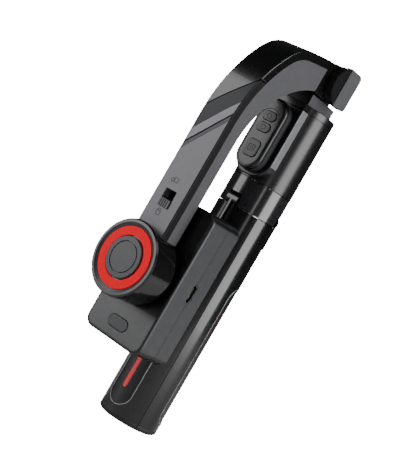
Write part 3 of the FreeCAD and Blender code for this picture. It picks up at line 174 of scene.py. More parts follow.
# %% Rubbers
# Soft moulded rubber: a broad sheen, broken up by a grain that can be seen.
pad_rubber = grained("soft_pad_rubber", "#0d0d0f", "#09090a", roughness=0.32,
                     grain_mm=0.4, bump_mm=0.012, spread=0.06)
# Hard moulded rubber: duller still, so it hardly answers the lights.
foot_rubber = grained("moulded_foot_rubber", "#0d0d0e", "#080809", roughness=0.55,
                      grain_mm=0.5, bump_mm=0.02, spread=0.08)
dress(pad_rubber, "leg_pad_1", "leg_pad_2", "leg_pad_3", "upper_claw_cushion",
      "lower_claw_cushion")
dress(foot_rubber, "leg_foot_1", "leg_foot_2", "leg_foot_3")

# %% [markdown]
# ## Greys
# The arm's back and the claws are painted a mid grey with a fine matt lacquer, and the motor's
# rings and the function key with a darker satin one. A little metallic in the shader stands
# for the aluminium flake in such paint: it makes the grey answer the lights, where a plain
# diffuse grey would look like card. The remote control's keys and back are not painted, but
# moulded in charcoal, so they have no flake.

# %% Grey finishes
# Matt lacquer with flake: a grey that brightens softly towards a light.
paint_grey = grained("matt_flake_paint", "#4b4b4e", "#454548", roughness=0.42,
                     grain_mm=0.3, bump_mm=0.004, spread=0.05, metallic=0.25)
# Satin lacquer with flake: darker, with a clearer arc of light round each ring.
ring_grey = grained("satin_ring_paint", "#3b3d3f", "#343638", roughness=0.36,
                    grain_mm=0.3, bump_mm=0.003, spread=0.05, metallic=0.3)
# Satin-moulded charcoal ABS: a shade lighter than the black round it, with no glitter.
key_grey = grained("satin_key_abs", "#232427", "#1e1f22", roughness=0.4,
                   grain_mm=0.3, bump_mm=0.004, spread=0.05)
dress(paint_grey, "arm_rear_shell", "upper_claw", "lower_claw")
dress(ring_grey, "motor_face_ring", "motor_hub", "function_key")
dress(key_grey, "remote_key_1", "remote_key_2", "remote_key_3", "remote_back_shell")

# %% [markdown]
# ## Metals
# The rod is drawn aluminium tube, anodised to a pale satin. Pins, springs, bearings and the
# jaws' guides are ground steel, and the rotor is turned. A metal has no colour of its own under
# the shine: its base colour is the colour of its reflection, so metallic is set to one.

# %% Metals
# Drawn and anodised aluminium: pale and even, with a soft shine.
drawn_rod = grained("drawn_anodised_aluminium", "#b9babd", "#acadb1", roughness=0.26,
                    grain_mm=0.4, bump_mm=0.003, spread=0.05, metallic=1.0)
# Ground steel: a fine grey grain that blurs what it mirrors.
ground_steel = grained("ground_steel", "#a8a8ab", "#98989b", roughness=0.28,
                       grain_mm=0.25, bump_mm=0.004, spread=0.06, metallic=1.0)
# Turned steel: darker and rougher than ground steel.
turned_steel = grained("turned_steel", "#8b8b8f", "#7d7d81", roughness=0.32,
                       grain_mm=0.3, bump_mm=0.005, spread=0.06, metallic=1.0)
# Nickel plate: bright, smooth and faintly warm.
nickel = grained("nickel_plate", "#c9c7c3", "#bcbab6", roughness=0.18,
                 grain_mm=0.3, bump_mm=0.002, spread=0.04, metallic=1.0)
# Enamelled copper wire: a brown orange, with the deepest bump of the metals for its turns.
copper = grained("enamelled_copper", "#b8683c", "#9c5230", roughness=0.34,
                 grain_mm=0.4, bump_mm=0.03, spread=0.06, metallic=1.0)
dress(drawn_rod, "outer_tube", *["rod_stage_%d" % number for number in range(1, 6)])
dress(ground_steel, "leg_pins", "fold_bolt", "motor_bearings", "jaw_springs", "remote_cell",
      "upper_jaw", "lower_jaw")
dress(turned_steel, "motor_rotor")
dress(nickel, "charge_port")
dress(copper, "motor_stator")

# %% [markdown]
# ## Boards and battery
# The circuit boards and the battery are only seen when the holder is opened, but a part in a
# library should still be right there. Both are plastics over something else: a varnish over
# glass fibre, and a film shrunk over a cell.

# %% Boards and battery
# Solder mask: a green varnish with a slight shine.
solder_mask = grained("green_solder_mask", "#174a2b", "#123c22", roughness=0.34,
                      grain_mm=0.6, bump_mm=0.01, spread=0.05)
# Shrink wrap: a blue film that shines a little and ripples over the cell.
shrink_wrap = grained("blue_shrink_wrap", "#2b4a86", "#223c70", roughness=0.3,
                      grain_mm=0.8, bump_mm=0.01, spread=0.06)
dress(solder_mask, "remote_board", "control_board")
dress(shrink_wrap, "battery")

# %% [markdown]
# ## Reds
# The ring on the motor is a lacquered disc, the one bright thing on the object. A highlight on red
# turns it pink, so its specular level is low and a painted glow keeps it bright instead. The bars in
# the legs are glossy red plastic inserts, and their glow is painted too: it stands in for the highlight
# on their faces.

# %% Red finishes
# Red lacquer under a clear coat flatted to a matt: one even red, with hardly a highlight, and a painted
# glow that keeps it bright.
red_lacquer_painted_glow = grained("clear_coated_red_lacquer_painted_glow", "#e60020", "#dc001c", roughness=0.4,
                      grain_mm=0.5, bump_mm=0.0005, spread=0.03, specular_ior_level=0.05,
                      emission_strength=0.25, emission_color=linear("#ff0018"))
# Glossy red plastic insert: its glow is painted, standing in for the highlight on its face.
red_insert_painted_glow = grained("glossy_red_insert_painted_glow", "#e02030", "#d01424", roughness=0.35,
                      grain_mm=0.5, bump_mm=0.002, spread=0.04,
                      emission_strength=0.2, emission_color=linear("#f02838"))
dress(red_lacquer_painted_glow, "motor_red_ring")
dress(red_insert_painted_glow, "leg_strip_1", "leg_strip_2", "leg_strip_3")

# %% [markdown]
# ## Paint that changes across one piece
# The arm's cover is sprayed in slanted bands, and the holder's face plate is grey with a painted
# reflection of the motor that darkens it to black above. Separate pieces would leave seams that the
# real ones do not have. A ramp does it instead: the point's own place, measured along one direction,
# picks the colour.
# The place is the piece's own, so the paint stays put when the piece moves.

# %% A ramp along a direction
def recolour(material, steps, along, low_mm, high_mm, soft=False):
    """Replace a material's colour with a ramp of (place in mm, hex) along a direction."""
    tree = material.node_tree
    skin = next(node for node in tree.nodes if node.type == "BSDF_PRINCIPLED")
    place = next(node for node in tree.nodes if node.type == "TEX_COORD")
    reach = add_node(tree, "ShaderNodeVectorMath", {"operation": "DOT_PRODUCT"}, {
        0: place.outputs["Object"], 1: along})
    span = add_node(tree, "ShaderNodeMapRange", {}, {
        "Value": reach.outputs["Value"], "From Min": low_mm * MM, "From Max": high_mm * MM})
    ramp = add_node(tree, "ShaderNodeValToRGB", {}, {"Fac": span.outputs["Result"]})
    ramp.color_ramp.interpolation = "EASE" if soft else "CONSTANT"
    stops = ramp.color_ramp.elements
    while len(stops) < len(steps):
        stops.new(1.0)
    for stop, (mm, colour) in zip(stops, steps):
        stop.position = (mm - low_mm) / (high_mm - low_mm)
        stop.color = linear(colour)
    tree.links.new(ramp.outputs["Color"], skin.inputs["Base Color"])
    print(material.name, "has", len(steps), "steps of colour")

# %% [markdown]
# ## The arm's slanted bands
# The cover's paint was masked with tape at a slant, so its bands end in hard edges. The slope
# says how far the edges rise for each millimetre to the right, and a hard ramp keeps them
# crisp: mid grey, dark grey, a thin black line, light grey, and dark again over the bend.

# %% Banded arm paint
BAND_SLOPE = 1.213
BAND_START_MM, BAND_END_MM = 60, 180
ARM_BANDS = [(60, "#6d6c70"), (133.0, "#46474a"), (136.1, "#0a0a0b"), (137.0, "#7a797d"),
             (143.2, "#2a2b2e")]
# Matt lacquer with flake again, with less shine, so that the bands' greys stay flat.
arm_paint = grained("banded_matt_flake_paint", "#7b7a7e", "#747377", roughness=0.42,
                    grain_mm=0.3, bump_mm=0.003, spread=0.05, metallic=0.25,
                    specular_ior_level=0.25)
recolour(arm_paint, ARM_BANDS, (-BAND_SLOPE, 0, 1), BAND_START_MM, BAND_END_MM)

# %% [markdown]
# ## The holder's face plate and its painted reflection
# The plate behind the motor is grey at its foot, with small steps in the grey, and near black above:
# the black is a painted reflection of the dark motor. The ramp is soft here, so the painted reflection
# has no hard edge.

# %% Fading plate lacquer
PLATE_SLOPE = 0.06
FADE_START_MM, FADE_END_MM = 30, 110
# Painted reflection: the last steps darken the grey to near black above, where the plate would mirror
# the dark motor.
PLATE_PAINTED_REFLECTION = [(30, "#3a3b3d"), (41.0, "#454648"), (48.0, "#404143"), (52.5, "#070708")]
# Lacquer under a thin clear coat: a smooth grey skin, with a soft edge up to the painted reflection.
plate_painted_reflection = grained("plate_lacquer_painted_reflection", "#626365", "#5c5d5f", roughness=0.30,
                      grain_mm=0.3, bump_mm=0.002, spread=0.05, coat_weight=0.2)
recolour(plate_painted_reflection, PLATE_PAINTED_REFLECTION, (-PLATE_SLOPE, 0, 1), FADE_START_MM, FADE_END_MM, soft=True)
dress(plate_painted_reflection, "mount_face_plate")

# %% [markdown]
# ## Sides in another colour
# Several pieces are one colour on their flat sides and another everywhere else. Here the mask
# is the distance from the middle plane: only the flat side reaches far enough out to pass it.
# On the sleeve, a round tube stands out beside the flat side. So there a second edge keeps the
# panel to the front, and it takes in only a thin layer.

# %% The side panel
PANEL_SKIN_MM = 0.2


def add_side_panel(material, edge_mm, colour, front_mm=None):
    """Another colour where the piece is further than the edge from its middle plane."""
    tree = material.node_tree
    skin = next(node for node in tree.nodes if node.type == "BSDF_PRINCIPLED")
    place = next(node for node in tree.nodes if node.type == "TEX_COORD")
    base = skin.inputs["Base Color"].links[0].from_socket
    apart = add_node(tree, "ShaderNodeSeparateXYZ", {}, {0: place.outputs["Object"]})
    width = add_node(tree, "ShaderNodeMath", {"operation": "ABSOLUTE"}, {0: apart.outputs["X"]})
    mask = add_node(tree, "ShaderNodeMath", {"operation": "GREATER_THAN"}, {
        0: width.outputs[0], 1: edge_mm * MM}).outputs[0]
    if front_mm is not None:
        ahead = add_node(tree, "ShaderNodeMath", {"operation": "LESS_THAN"}, {
            0: apart.outputs["Y"], 1: front_mm * MM})
        inside = add_node(tree, "ShaderNodeMath", {"operation": "LESS_THAN"}, {
            0: width.outputs[0], 1: (edge_mm + PANEL_SKIN_MM) * MM})
        both = add_node(tree, "ShaderNodeMath", {"operation": "MULTIPLY"}, {
            0: ahead.outputs[0], 1: inside.outputs[0]})
        mask = add_node(tree, "ShaderNodeMath", {"operation": "MULTIPLY"}, {
            0: both.outputs[0], 1: mask}).outputs[0]
    mixed = add_node(tree, "ShaderNodeMix", {"data_type": "RGBA"}, {
        0: mask, 6: base, 7: linear(colour)})
    tree.links.new(mixed.outputs[2], skin.inputs["Base Color"])
    print(material.name, "changes", edge_mm, "mm from the middle plane")

# %% [markdown]
# ## Arm, holder and neck
# The arm's cover was masked along its sides, which stay black next to the banded front. The holder is
# the other way round: its flat sides are grey, and the rest is black, a painted dark reflection on its
# rounded rim and painted shade underneath. The neck's flat sides are grey too, and the rest of it is
# black, a painted shadow under the arm. Each edge lies just inside the flat side, so the rounded corner
# keeps the main colour.

# %% Arm, holder and neck sides
ARM_SIDE_MM, HOLDER_SIDE_MM, NECK_SIDE_MM = 8.45, 18.7, 7.15
add_side_panel(arm_paint, ARM_SIDE_MM, "#0a0a0b")
# Satin black ABS with a grey side: the black is a painted dark reflection on the rim and painted shade
# underneath, round a grey field.
holder_painted_dark_rim = grained("grey_side_painted_dark_rim", "#08080a", "#060607", roughness=0.36,
                    grain_mm=0.3, bump_mm=0.002, spread=0.05)
add_side_panel(holder_painted_dark_rim, HOLDER_SIDE_MM, "#353638")
# Matt black with a grey side: the neck's black front is a painted shadow under the arm.
neck_painted_shadow = grained("grey_side_painted_neck_shadow", "#08080a", "#060607", roughness=0.5,
                     grain_mm=0.3, bump_mm=0.003, spread=0.05, specular_ior_level=0.15)
add_side_panel(neck_painted_shadow, NECK_SIDE_MM, "#47474a")
dress(arm_paint, "arm_front_cover")
dress(holder_painted_dark_rim, "mount_front_shell", "mount_rear_shell")
dress(neck_painted_shadow, "neck_tongue")

# %% [markdown]
# ## Sleeve and lever
# The sleeve is a satin black tube with a cradle in front of it, and only the cradle's flat sides are
# grey. The fold lever is satin black, and the grey on its outer face is a painted highlight.

# %% Sleeve and lever sides
CRADLE_SIDE_MM, CRADLE_BACK_MM, LEVER_SIDE_MM = 10.7, -10.9, 13.9
# Satin black ABS with a painted side: wide soft streaks beside a plain light grey.
sleeve_paint = grained("satin_sleeve_grey_panel", "#0f0f11", "#0a0a0c", roughness=0.26,
                       grain_mm=0.35, bump_mm=0.002, spread=0.04)
add_side_panel(sleeve_paint, CRADLE_SIDE_MM, "#6a6a6d", CRADLE_BACK_MM)
# Satin black ABS: the grey outer face is a painted highlight, with a thin dark edge round it.
lever_painted_highlight = grained("satin_lever_painted_highlight", "#08080a", "#060607", roughness=0.3,
                      grain_mm=0.35, bump_mm=0.002, spread=0.04)
add_side_panel(lever_painted_highlight, LEVER_SIDE_MM, "#4a4b4d")
dress(lever_painted_highlight, "fold_lever")
dress(sleeve_paint, "head_sleeve")

# %% [markdown]
# ## Fine lines that follow a path
# Moulded beads round the grip pads, the raised rim on the remote control and the printed pictograms are
# all one idea: a thin round line along a path. Geometry Nodes make it once. The path is a mesh of
# edges, the tree turns it to a curve, sweeps a small circle along it, and sets the material. The result
# is made plain, so that the piece holds real faces.

# %% The bead tree
def new_tree(name, sockets):
    """A Geometry Nodes tree with named inputs, and the outputs of its input node."""
    tree = bpy.data.node_groups.new(name, "GeometryNodeTree")
    tree.interface.new_socket("Geometry", in_out="INPUT", socket_type="NodeSocketGeometry")
    for label, kind in sockets:
        tree.interface.new_socket(label, in_out="INPUT", socket_type=kind)
    tree.interface.new_socket("Geometry", in_out="OUTPUT", socket_type="NodeSocketGeometry")
    return tree, add_node(tree, "NodeGroupInput").outputs


def close_tree(tree, given, made):
    """End a tree in Realize Instances and Set Material."""
    real = add_node(tree, "GeometryNodeRealizeInstances", {}, {"Geometry": made})
    painted = add_node(tree, "GeometryNodeSetMaterial", {}, {
        "Geometry": real.outputs["Geometry"], "Material": given["Material"]})
    add_node(tree, "NodeGroupOutput", {}, {"Geometry": painted.outputs["Geometry"]})


bead_tree, given = new_tree("bead_along_path", [
    ("Radius", "NodeSocketFloat"), ("Sides", "NodeSocketInt"), ("Material", "NodeSocketMaterial")])
path = add_node(bead_tree, "GeometryNodeMeshToCurve", {}, {"Mesh": given["Geometry"]})
ring = add_node(bead_tree, "GeometryNodeCurvePrimitiveCircle", {}, {
    "Resolution": given["Sides"], "Radius": given["Radius"]})
swept = add_node(bead_tree, "GeometryNodeCurveToMesh", {}, {
    "Curve": path.outputs["Curve"], "Profile Curve": ring.outputs["Curve"], "Fill Caps": True})
close_tree(bead_tree, given, swept.outputs["Mesh"])
print("bead tree has", len(bead_tree.nodes), "nodes")

# %% [markdown]
# ## From a tree to a plain piece
# A tree works on an object that carries its points and edges. The carrier is only needed while
# the tree runs: the finished mesh is copied out of it, and the carrier is removed, so nothing
# is left to be worked out again. The new piece then rides on the body that it belongs to.

# %% Making a piece with a tree
def grow(name, tree, points, edges, body, slot, **values):
    """Run a tree over a mesh of points and edges and keep the plain result as a piece."""
    seed = bpy.data.meshes.new(name + "_seed")
    seed.from_pydata(points, edges, [])
    carrier = bpy.data.objects.new(name + "_carrier", seed)
    bpy.context.scene.collection.objects.link(carrier)
    modifier = carrier.modifiers.new("grow", "NODES")
    modifier.node_group = tree
    sockets = {item.name: item.identifier for item in tree.interface.items_tree
               if item.in_out == "INPUT"}
    for label, value in values.items():
        modifier[sockets[label]] = value
    graph = bpy.context.evaluated_depsgraph_get()
    mesh = bpy.data.meshes.new_from_object(carrier.evaluated_get(graph))
    bpy.data.objects.remove(carrier)
    piece = bpy.data.objects.new(name, mesh)
    bpy.context.scene.collection.objects.link(piece)
    for face in mesh.polygons:
        face.use_smooth = True
    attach(piece, body)
    print(name, "has", len(mesh.polygons), "faces")
    return piece

# %% [markdown]
# ## Paths
# Every path here is a closed row of points. A flat outline is worked out first, as pairs of
# across and up in millimetres, because a round end or a rounded corner is easy to write flat.

# %% Outlines
def closed(points):
    """The edges that join a row of points into a loop."""
    return [(index, (index + 1) % len(points)) for index in range(len(points))]


def slot_points(half_width, low, high, count=16):
    """Points (across, up) round a round-ended slot, in mm."""
    turns = [math.pi * step / count for step in range(count + 1)]
    top = [(half_width * math.cos(t), high - half_width + half_width * math.sin(t)) for t in turns]
    return top + [(-x, low + half_width - (z - high + half_width)) for x, z in top]


def circle_points(radius, count=20):
    """Points round a circle."""
    turns = [2 * math.pi * step / count for step in range(count)]
    return [(radius * math.cos(t), radius * math.sin(t)) for t in turns]


CORNER_STEPS = 4


def box_points(half_width, half_height, corner):
    """Points round a rounded rectangle."""
    points = []
    for middle_x, middle_z, first in ((1, 1, 0), (-1, 1, 90), (-1, -1, 180), (1, -1, 270)):
        for step in range(CORNER_STEPS + 1):
            turn = math.radians(first + step * 90 / CORNER_STEPS)
            points.append((middle_x * (half_width - corner) + corner * math.cos(turn),
                           middle_z * (half_height - corner) + corner * math.sin(turn)))
    return points


print("a slot of 4 by 20 mm has", len(slot_points(2, 0, 20)), "points")

# %% [markdown]
# ## Beads round the grip pads
# Each leg's pad lies in a shallow slot, and the slot's lip is a raised bead. Its fine bright line is a
# painted highlight: the bead is coloured pale for the light that it catches. Its path is the slot's
# outline bent round the handle.

# %% Pad beads
# Painted highlight: the lip is coloured pale and half metallic, for the light that it catches.
bead_painted_highlight = grained("lip_painted_highlight", "#a2a2a5", "#929295", roughness=0.22,
                    grain_mm=0.5, bump_mm=0.001, spread=0.03, metallic=0.5)
BEAD_SIDES = 8
LIP_MM, LIP_BULGE_MM, LIP_RADIUS_MM = 0.3, 0.1, 0.17
HANDLE_RADIUS = -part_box("leg_foot_1")[0].y / MM
PAD_LOW, PAD_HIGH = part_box("leg_pad_1")[0].z / MM - LIP_MM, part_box("leg_pad_1")[1].z / MM + LIP_MM
PAD_HALF_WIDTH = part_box("leg_pad_1")[1].x / MM + LIP_MM
for number, turn in ((1, 0), (2, 120), (3, -120)):
    around = Matrix.Rotation(math.radians(turn), 3, "Z")
    outline = [
        around @ Vector((x, -math.sqrt(HANDLE_RADIUS ** 2 - x ** 2), z)) * MM
        for x, z in slot_points(PAD_HALF_WIDTH + LIP_BULGE_MM, PAD_LOW, PAD_HIGH)]
    grow("pad_bead_%d" % number, bead_tree, outline, closed(outline), "leg_%d" % number,
         "gloss_black", Radius=LIP_RADIUS_MM * MM, Sides=BEAD_SIDES, Material=bead_painted_highlight)

# %% [markdown]
# ## Drawing on a front plane
# Rims and pictograms lie flat on the front of the piece that they belong to. Several closed
# paths become one piece, because one mould or one print makes them at once. Printing ink is a
# thin matt film, and it is drawn a little thicker than life, so that it still shows.

# %% Inks and flat drawings
# A raised moulded edge: a dark grey line with a thin streak along it.
rim_black = grained("raised_rim_abs", "#232326", "#1a1a1c", roughness=0.28,
                    grain_mm=0.5, bump_mm=0.001, spread=0.03)
# Pad-printed black ink: flat and dull, so it reads as a line on the grey.
sign_ink = grained("pad_printed_black_ink", "#101012", "#0c0c0e", roughness=0.5,
                   grain_mm=0.4, bump_mm=0.001, spread=0.05)
# Pad-printed grey ink: the same film in a tone that shows on black.
pale_ink = grained("pad_printed_grey_ink", "#8c8d92", "#808186", roughness=0.45,
                   grain_mm=0.4, bump_mm=0.001, spread=0.05)


def on_front(flat, front_y, middle_x=0.0, middle_z=0.0):
    """Points (across, up) in mm set on a plane that faces -Y."""
    return [Vector((middle_x + x, front_y, middle_z + z)) * MM for x, z in flat]


def draw_loops(name, loops, body, slot, radius, material):
    """One piece made of several closed paths."""
    points, edges = [], []
    for loop in loops:
        edges += [(a + len(points), b + len(points)) for a, b in closed(loop)]
        points += loop
    grow(name, bead_tree, points, edges, body, slot, Radius=radius * MM,
         Sides=BEAD_SIDES, Material=material)


print("three line finishes:", rim_black.name, sign_ink.name, pale_ink.name)

# %% [markdown]
# ## The remote control's rim and lamp sign
# A raised rim runs round the three keys, so that a finger finds them in the dark. Over it is
# the sign of the pairing lamp, a small triangle. The rim keeps its distance from the shell's
# foot and from the upper key, so both are read from the frame.

# %% Remote rim and lamp sign
RIM_HALF_WIDTH, RIM_FOOT, RIM_TOP, RIM_RADIUS = 6.1, 1.7, 1.2, 0.2
LAMP_DROP, LAMP_LINE = 2.6, 0.12
LAMP_TRIANGLE = [(-0.8, -0.7), (0.8, -0.7), (0.0, 0.8)]
shell_low, shell_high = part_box("remote_front_shell")
FRONT = shell_low.y / MM
KEY_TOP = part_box("remote_key_1")[1].z / MM
rim_path = slot_points(RIM_HALF_WIDTH, shell_low.z / MM + RIM_FOOT, KEY_TOP + RIM_TOP)
draw_loops("remote_rim", [on_front(rim_path, FRONT)], "remote", "gloss_black", RIM_RADIUS,
           rim_black)
lamp = on_front(LAMP_TRIANGLE, FRONT, 0, shell_high.z / MM - LAMP_DROP)
draw_loops("remote_lamp_sign", [lamp], "remote", "satin_grey", LAMP_LINE, pale_ink)

# %% [markdown]
# ## The keys' signs
# The two small keys carry a ring, and the large one a camera, drawn as a rounded box round a
# lens. Each sign rides on its own key, so it sinks with the key when the key is pressed.

# %% Key signs
SIGN_LINE = 0.13
KEY_RING, LENS_RING = 1.25, 0.75
CAMERA_BOX = (1.9, 1.5, 0.4)
for number in (1, 2, 3):
    low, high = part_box("remote_key_%d" % number)
    shapes = [box_points(*CAMERA_BOX), circle_points(LENS_RING)] if number == 3 else [
        circle_points(KEY_RING)]
    loops = [on_front(shape, low.y / MM, 0, (low.z + high.z) / 2 / MM) for shape in shapes]
    draw_loops("remote_key_sign_%d" % number, loops, "remote_key_%d" % number, "gloss_black",
               SIGN_LINE, sign_ink)

# %% [markdown]
# ## Padlocks on the arm
# The slide lock has an open padlock over its slot and a closed one under it, printed in a thin
# dark line. They are plain shapes: a box for the body, and a hoop that meets it or hangs open.

# %% Padlock signs
ARM_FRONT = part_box("arm_front_cover")[0].y / MM
LOCK_MIDDLE = 100.8
PADLOCK_SIDE, BODY_HALF = -0.6, 1.0
OPEN_BODY_RISE, OPEN_HOOP_RISE, CLOSED_DROP = 9.0, 8.0, 7.4
ARCH_STEPS, FOOT_GAP = 8, 0.01


def hoop(half_width, height, shift=0.0, turn=0.0):
    """A narrow loop for the padlock's shackle, with two points a hair apart at its left foot."""
    turns = [math.pi * step / ARCH_STEPS for step in range(ARCH_STEPS + 1)]
    arch = [(half_width * math.cos(t), height + half_width * math.sin(t)) for t in turns]
    legs = arch + [(-half_width, 0), (-half_width + FOOT_GAP, 0), (half_width, 0)]
    spin = math.radians(turn)
    return [(shift + x * math.cos(spin) - z * math.sin(spin),
             x * math.sin(spin) + z * math.cos(spin)) for x, z in legs]


open_body = box_points(half_width=1.1, half_height=1.1, corner=0.3)
open_hoop = hoop(half_width=0.7, height=0.9, shift=-2.2, turn=35)
closed_body = box_points(half_width=1.1, half_height=BODY_HALF, corner=0.3)
closed_hoop = [(x, z + BODY_HALF) for x, z in hoop(half_width=0.7, height=0.5)]
padlocks = [
    on_front(open_body, ARM_FRONT, PADLOCK_SIDE, LOCK_MIDDLE + OPEN_BODY_RISE),
    on_front(open_hoop, ARM_FRONT, 0.0, LOCK_MIDDLE + OPEN_HOOP_RISE),
    on_front(closed_body, ARM_FRONT, PADLOCK_SIDE, LOCK_MIDDLE - CLOSED_DROP),
    on_front(closed_hoop, ARM_FRONT, PADLOCK_SIDE, LOCK_MIDDLE - CLOSED_DROP)]
draw_loops("padlock_signs", padlocks, "arm", "gloss_black", SIGN_LINE, sign_ink)

# %% [markdown]
# ## Knurling, ribs and screws
# The lock's knob has rows of small points for the thumb, the claws' cushions have ribs so that
# a phone does not slip, and four screws close the holder. All three are one small shape set on
# many points, which is what Instance on Points is for. The small shape is read from an object
# and has few faces, because it is repeated.

# %% The repeat tree
repeat_tree, given = new_tree("shape_on_points", [
    ("Shape", "NodeSocketObject"), ("Material", "NodeSocketMaterial")])
small = add_node(repeat_tree, "GeometryNodeObjectInfo", {"transform_space": "ORIGINAL"}, {
    "Object": given["Shape"]})
spread = add_node(repeat_tree, "GeometryNodeInstanceOnPoints", {}, {
    "Points": given["Geometry"], "Instance": small.outputs["Geometry"]})
close_tree(repeat_tree, given, spread.outputs["Instances"])
print("repeat tree has", len(repeat_tree.nodes), "nodes")

# %% [markdown]
# ## The small shapes
# Each small shape is an outline repeated at a few heights, larger or smaller, with faces
# between the rows and at both ends. That makes a stud, a rib or a screw head alike. They have
# crisp edges, so their faces are set flat, where the beads are smooth.

# %% Lofting and repeating a small shape
def small_shape(name, outline, steps):
    """A shape lofted along Y: each step is (scale of the outline in mm, y in mm)."""
    mesh = bmesh.new()
    rows = [[mesh.verts.new((x * scale * MM, y * MM, z * scale * MM)) for x, z in outline]
            for scale, y in steps]
    mesh.faces.new(rows[0])
    for row, following in zip(rows, rows[1:]):
        for index in range(len(row)):
            after = (index + 1) % len(row)
            mesh.faces.new((row[index], following[index], following[after], row[after]))
    mesh.faces.new(reversed(rows[-1]))
    bmesh.ops.recalc_face_normals(mesh, faces=mesh.faces)
    data = bpy.data.meshes.new(name)
    mesh.to_mesh(data)
    mesh.free()
    print(name, "has", len(data.polygons), "faces")
    return bpy.data.objects.new(name, data)


def repeat(name, shape, points, body, slot, material):
    """A small shape set on every point, with flat faces."""
    piece = grow(name, repeat_tree, points, [], body, slot, Shape=shape, Material=material)
    for face in piece.data.polygons:
        face.use_smooth = False

# %% [markdown]
# ## Thumb points
# The slide lock's knob is pushed with a thumb, so its front carries rows of small pyramids
# with their tips cut off. A grid of places in two directions is all that they need.

# %% Thumb points on the slide lock
THUMB_COLUMNS, THUMB_ROWS = 5, 4
THUMB_ACROSS, THUMB_UP = 1.28, 0.8
THUMB_FIRST_X, THUMB_FIRST_Z, THUMB_SINK = -2.55, 0.6, 0.02
UNIT_SQUARE = [(-1, -1), (1, -1), (1, 1), (-1, 1)]
thumb_point = small_shape("thumb_point", UNIT_SQUARE, [(0.26, 0.15), (0.26, 0), (0.1, -0.3)])
knob_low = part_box("lock_slider")[0]
KNOB_BOTTOM, KNOB_FRONT = knob_low.z / MM, knob_low.y / MM
thumb_places = [
    Vector((THUMB_FIRST_X + THUMB_ACROSS * column, KNOB_FRONT + THUMB_SINK,
            KNOB_BOTTOM + THUMB_FIRST_Z + THUMB_UP * row)) * MM
    for column in range(THUMB_COLUMNS) for row in range(THUMB_ROWS)]
repeat("lock_thumb_points", thumb_point, thumb_places, "roll_lock", "gloss_black", rim_black)

# %% [markdown]
# ## Cushion ribs
# Ribs across the claws' cushions give under the phone and grip its edge. They are spread evenly
# over the cushion's height, half a step in from each end, and lie against its front.

# %% Ribs on the claws' cushions
RIB_COUNT = 8
RIB_HALF_WIDTH, RIB_HALF_HEIGHT = 6.2, 0.2
rib_outline = [(x * RIB_HALF_WIDTH, z * RIB_HALF_HEIGHT) for x, z in UNIT_SQUARE]
rib = small_shape("cushion_rib", rib_outline, [(1, 0.1), (1, -0.1), (0.98, -0.25)])
for side in ("upper", "lower"):
    low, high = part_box(side + "_claw_cushion")
    places = [Vector((0, low.y, low.z + (high.z - low.z) * (step + 0.5) / RIB_COUNT))
              for step in range(RIB_COUNT)]
    repeat(side + "_cushion_ribs", rib, places, side + "_claw", "rubber", pad_rubber)

# %% [markdown]
# ## The holder's screws
# Four screws close the holder from behind, one near each corner. A head has a bevelled edge
# and a round recess, which the last step of the loft sinks back into the metal.

# %% Screws in the holder's back
SCREW_ACROSS, SCREW_UP, SCREW_SINK = 15.3, 31.0, 0.1
screw = small_shape("screw_head", circle_points(1.0), [
    (1.5, -0.5), (1.5, 0.2), (1.3, 0.42), (0.8, 0.42), (0.7, 0.1)])
back_low, back_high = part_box("mount_rear_shell")
screw_places = [
    Vector((x * MM, back_high.y - SCREW_SINK * MM, (back_low.z + back_high.z) / 2 + z * MM))
    for x in (-SCREW_ACROSS, SCREW_ACROSS) for z in (-SCREW_UP, SCREW_UP)]
repeat("holder_screws", screw, screw_places, "phone_holder", "pin_steel", ground_steel)

# %% [markdown]
# ## The floor
# A round of pale card lies under the object. Where it is looked at straight, it glows white,
# so that it gives a clean ground from every side. For light that bounces it is plain card, so
# that it throws no glow back on the black plastic. The light path node tells the two apart.

# %% Pale card
FIBRES_PER_METRE, FIBRE_BUMP = 300.0, 0.0001
WHITE_GLOW = 18.0
# Uncoated card: white and matt, with a faint fibre in it.
card = bpy.data.materials.new("pale_card")
card.use_nodes = True
card_tree = card.node_tree
card_tree.nodes.clear()
card_place = add_node(card_tree, "ShaderNodeTexCoord")
card_fibre = add_node(card_tree, "ShaderNodeTexNoise", {}, {
    "Vector": card_place.outputs["Object"], "Scale": FIBRES_PER_METRE})
card_bump = add_node(card_tree, "ShaderNodeBump", {}, {
    "Height": card_fibre.outputs["Fac"], "Distance": FIBRE_BUMP, "Strength": 0.2})
card_skin = add_node(card_tree, "ShaderNodeBsdfPrincipled", {}, {
    "Base Color": linear("#f4f4f4"), "Roughness": 0.9, "Normal": card_bump.outputs["Normal"]})
card_glow = add_node(card_tree, "ShaderNodeEmission", {}, {
    "Color": linear("#ffffff"), "Strength": WHITE_GLOW})
seen = add_node(card_tree, "ShaderNodeLightPath")
card_mix = add_node(card_tree, "ShaderNodeMixShader", {}, {
    0: seen.outputs["Is Camera Ray"], 1: card_skin.outputs["BSDF"], 2: card_glow.outputs["Emission"]})
add_node(card_tree, "ShaderNodeOutputMaterial", {}, {"Surface": card_mix.outputs["Shader"]})
print("card has", len(card_tree.nodes), "nodes")

# %% [markdown]
# ## The floor's shape
# The card is cut round and large, so that its edge lies far outside every view, and it lies a
# hair under the object's feet, so that the two faces never share one plane.

# %% Floor
FLOOR_RADIUS, FLOOR_LEVEL, FLOOR_STEP = 4.0, -0.0002, 10
floor_turns = [math.radians(degrees) for degrees in range(0, 360, FLOOR_STEP)]
floor_rim = [(FLOOR_RADIUS * math.cos(t), FLOOR_RADIUS * math.sin(t), FLOOR_LEVEL)
             for t in floor_turns]
floor_mesh = bpy.data.meshes.new("card_floor")
floor_mesh.from_pydata(floor_rim, [], [range(len(floor_rim))])
floor_mesh.materials.append(card)
floor = bpy.data.objects.new("card_floor", floor_mesh)
bpy.context.scene.collection.objects.link(floor)
floor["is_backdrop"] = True
print("floor radius in metres:", FLOOR_RADIUS)

# %% [markdown]
# ## The room
# Black plastic only looks black when most of what it mirrors is dark, so the room is dim for
# reflections. Looked at straight, it is as white as the floor, so that no horizon shows.

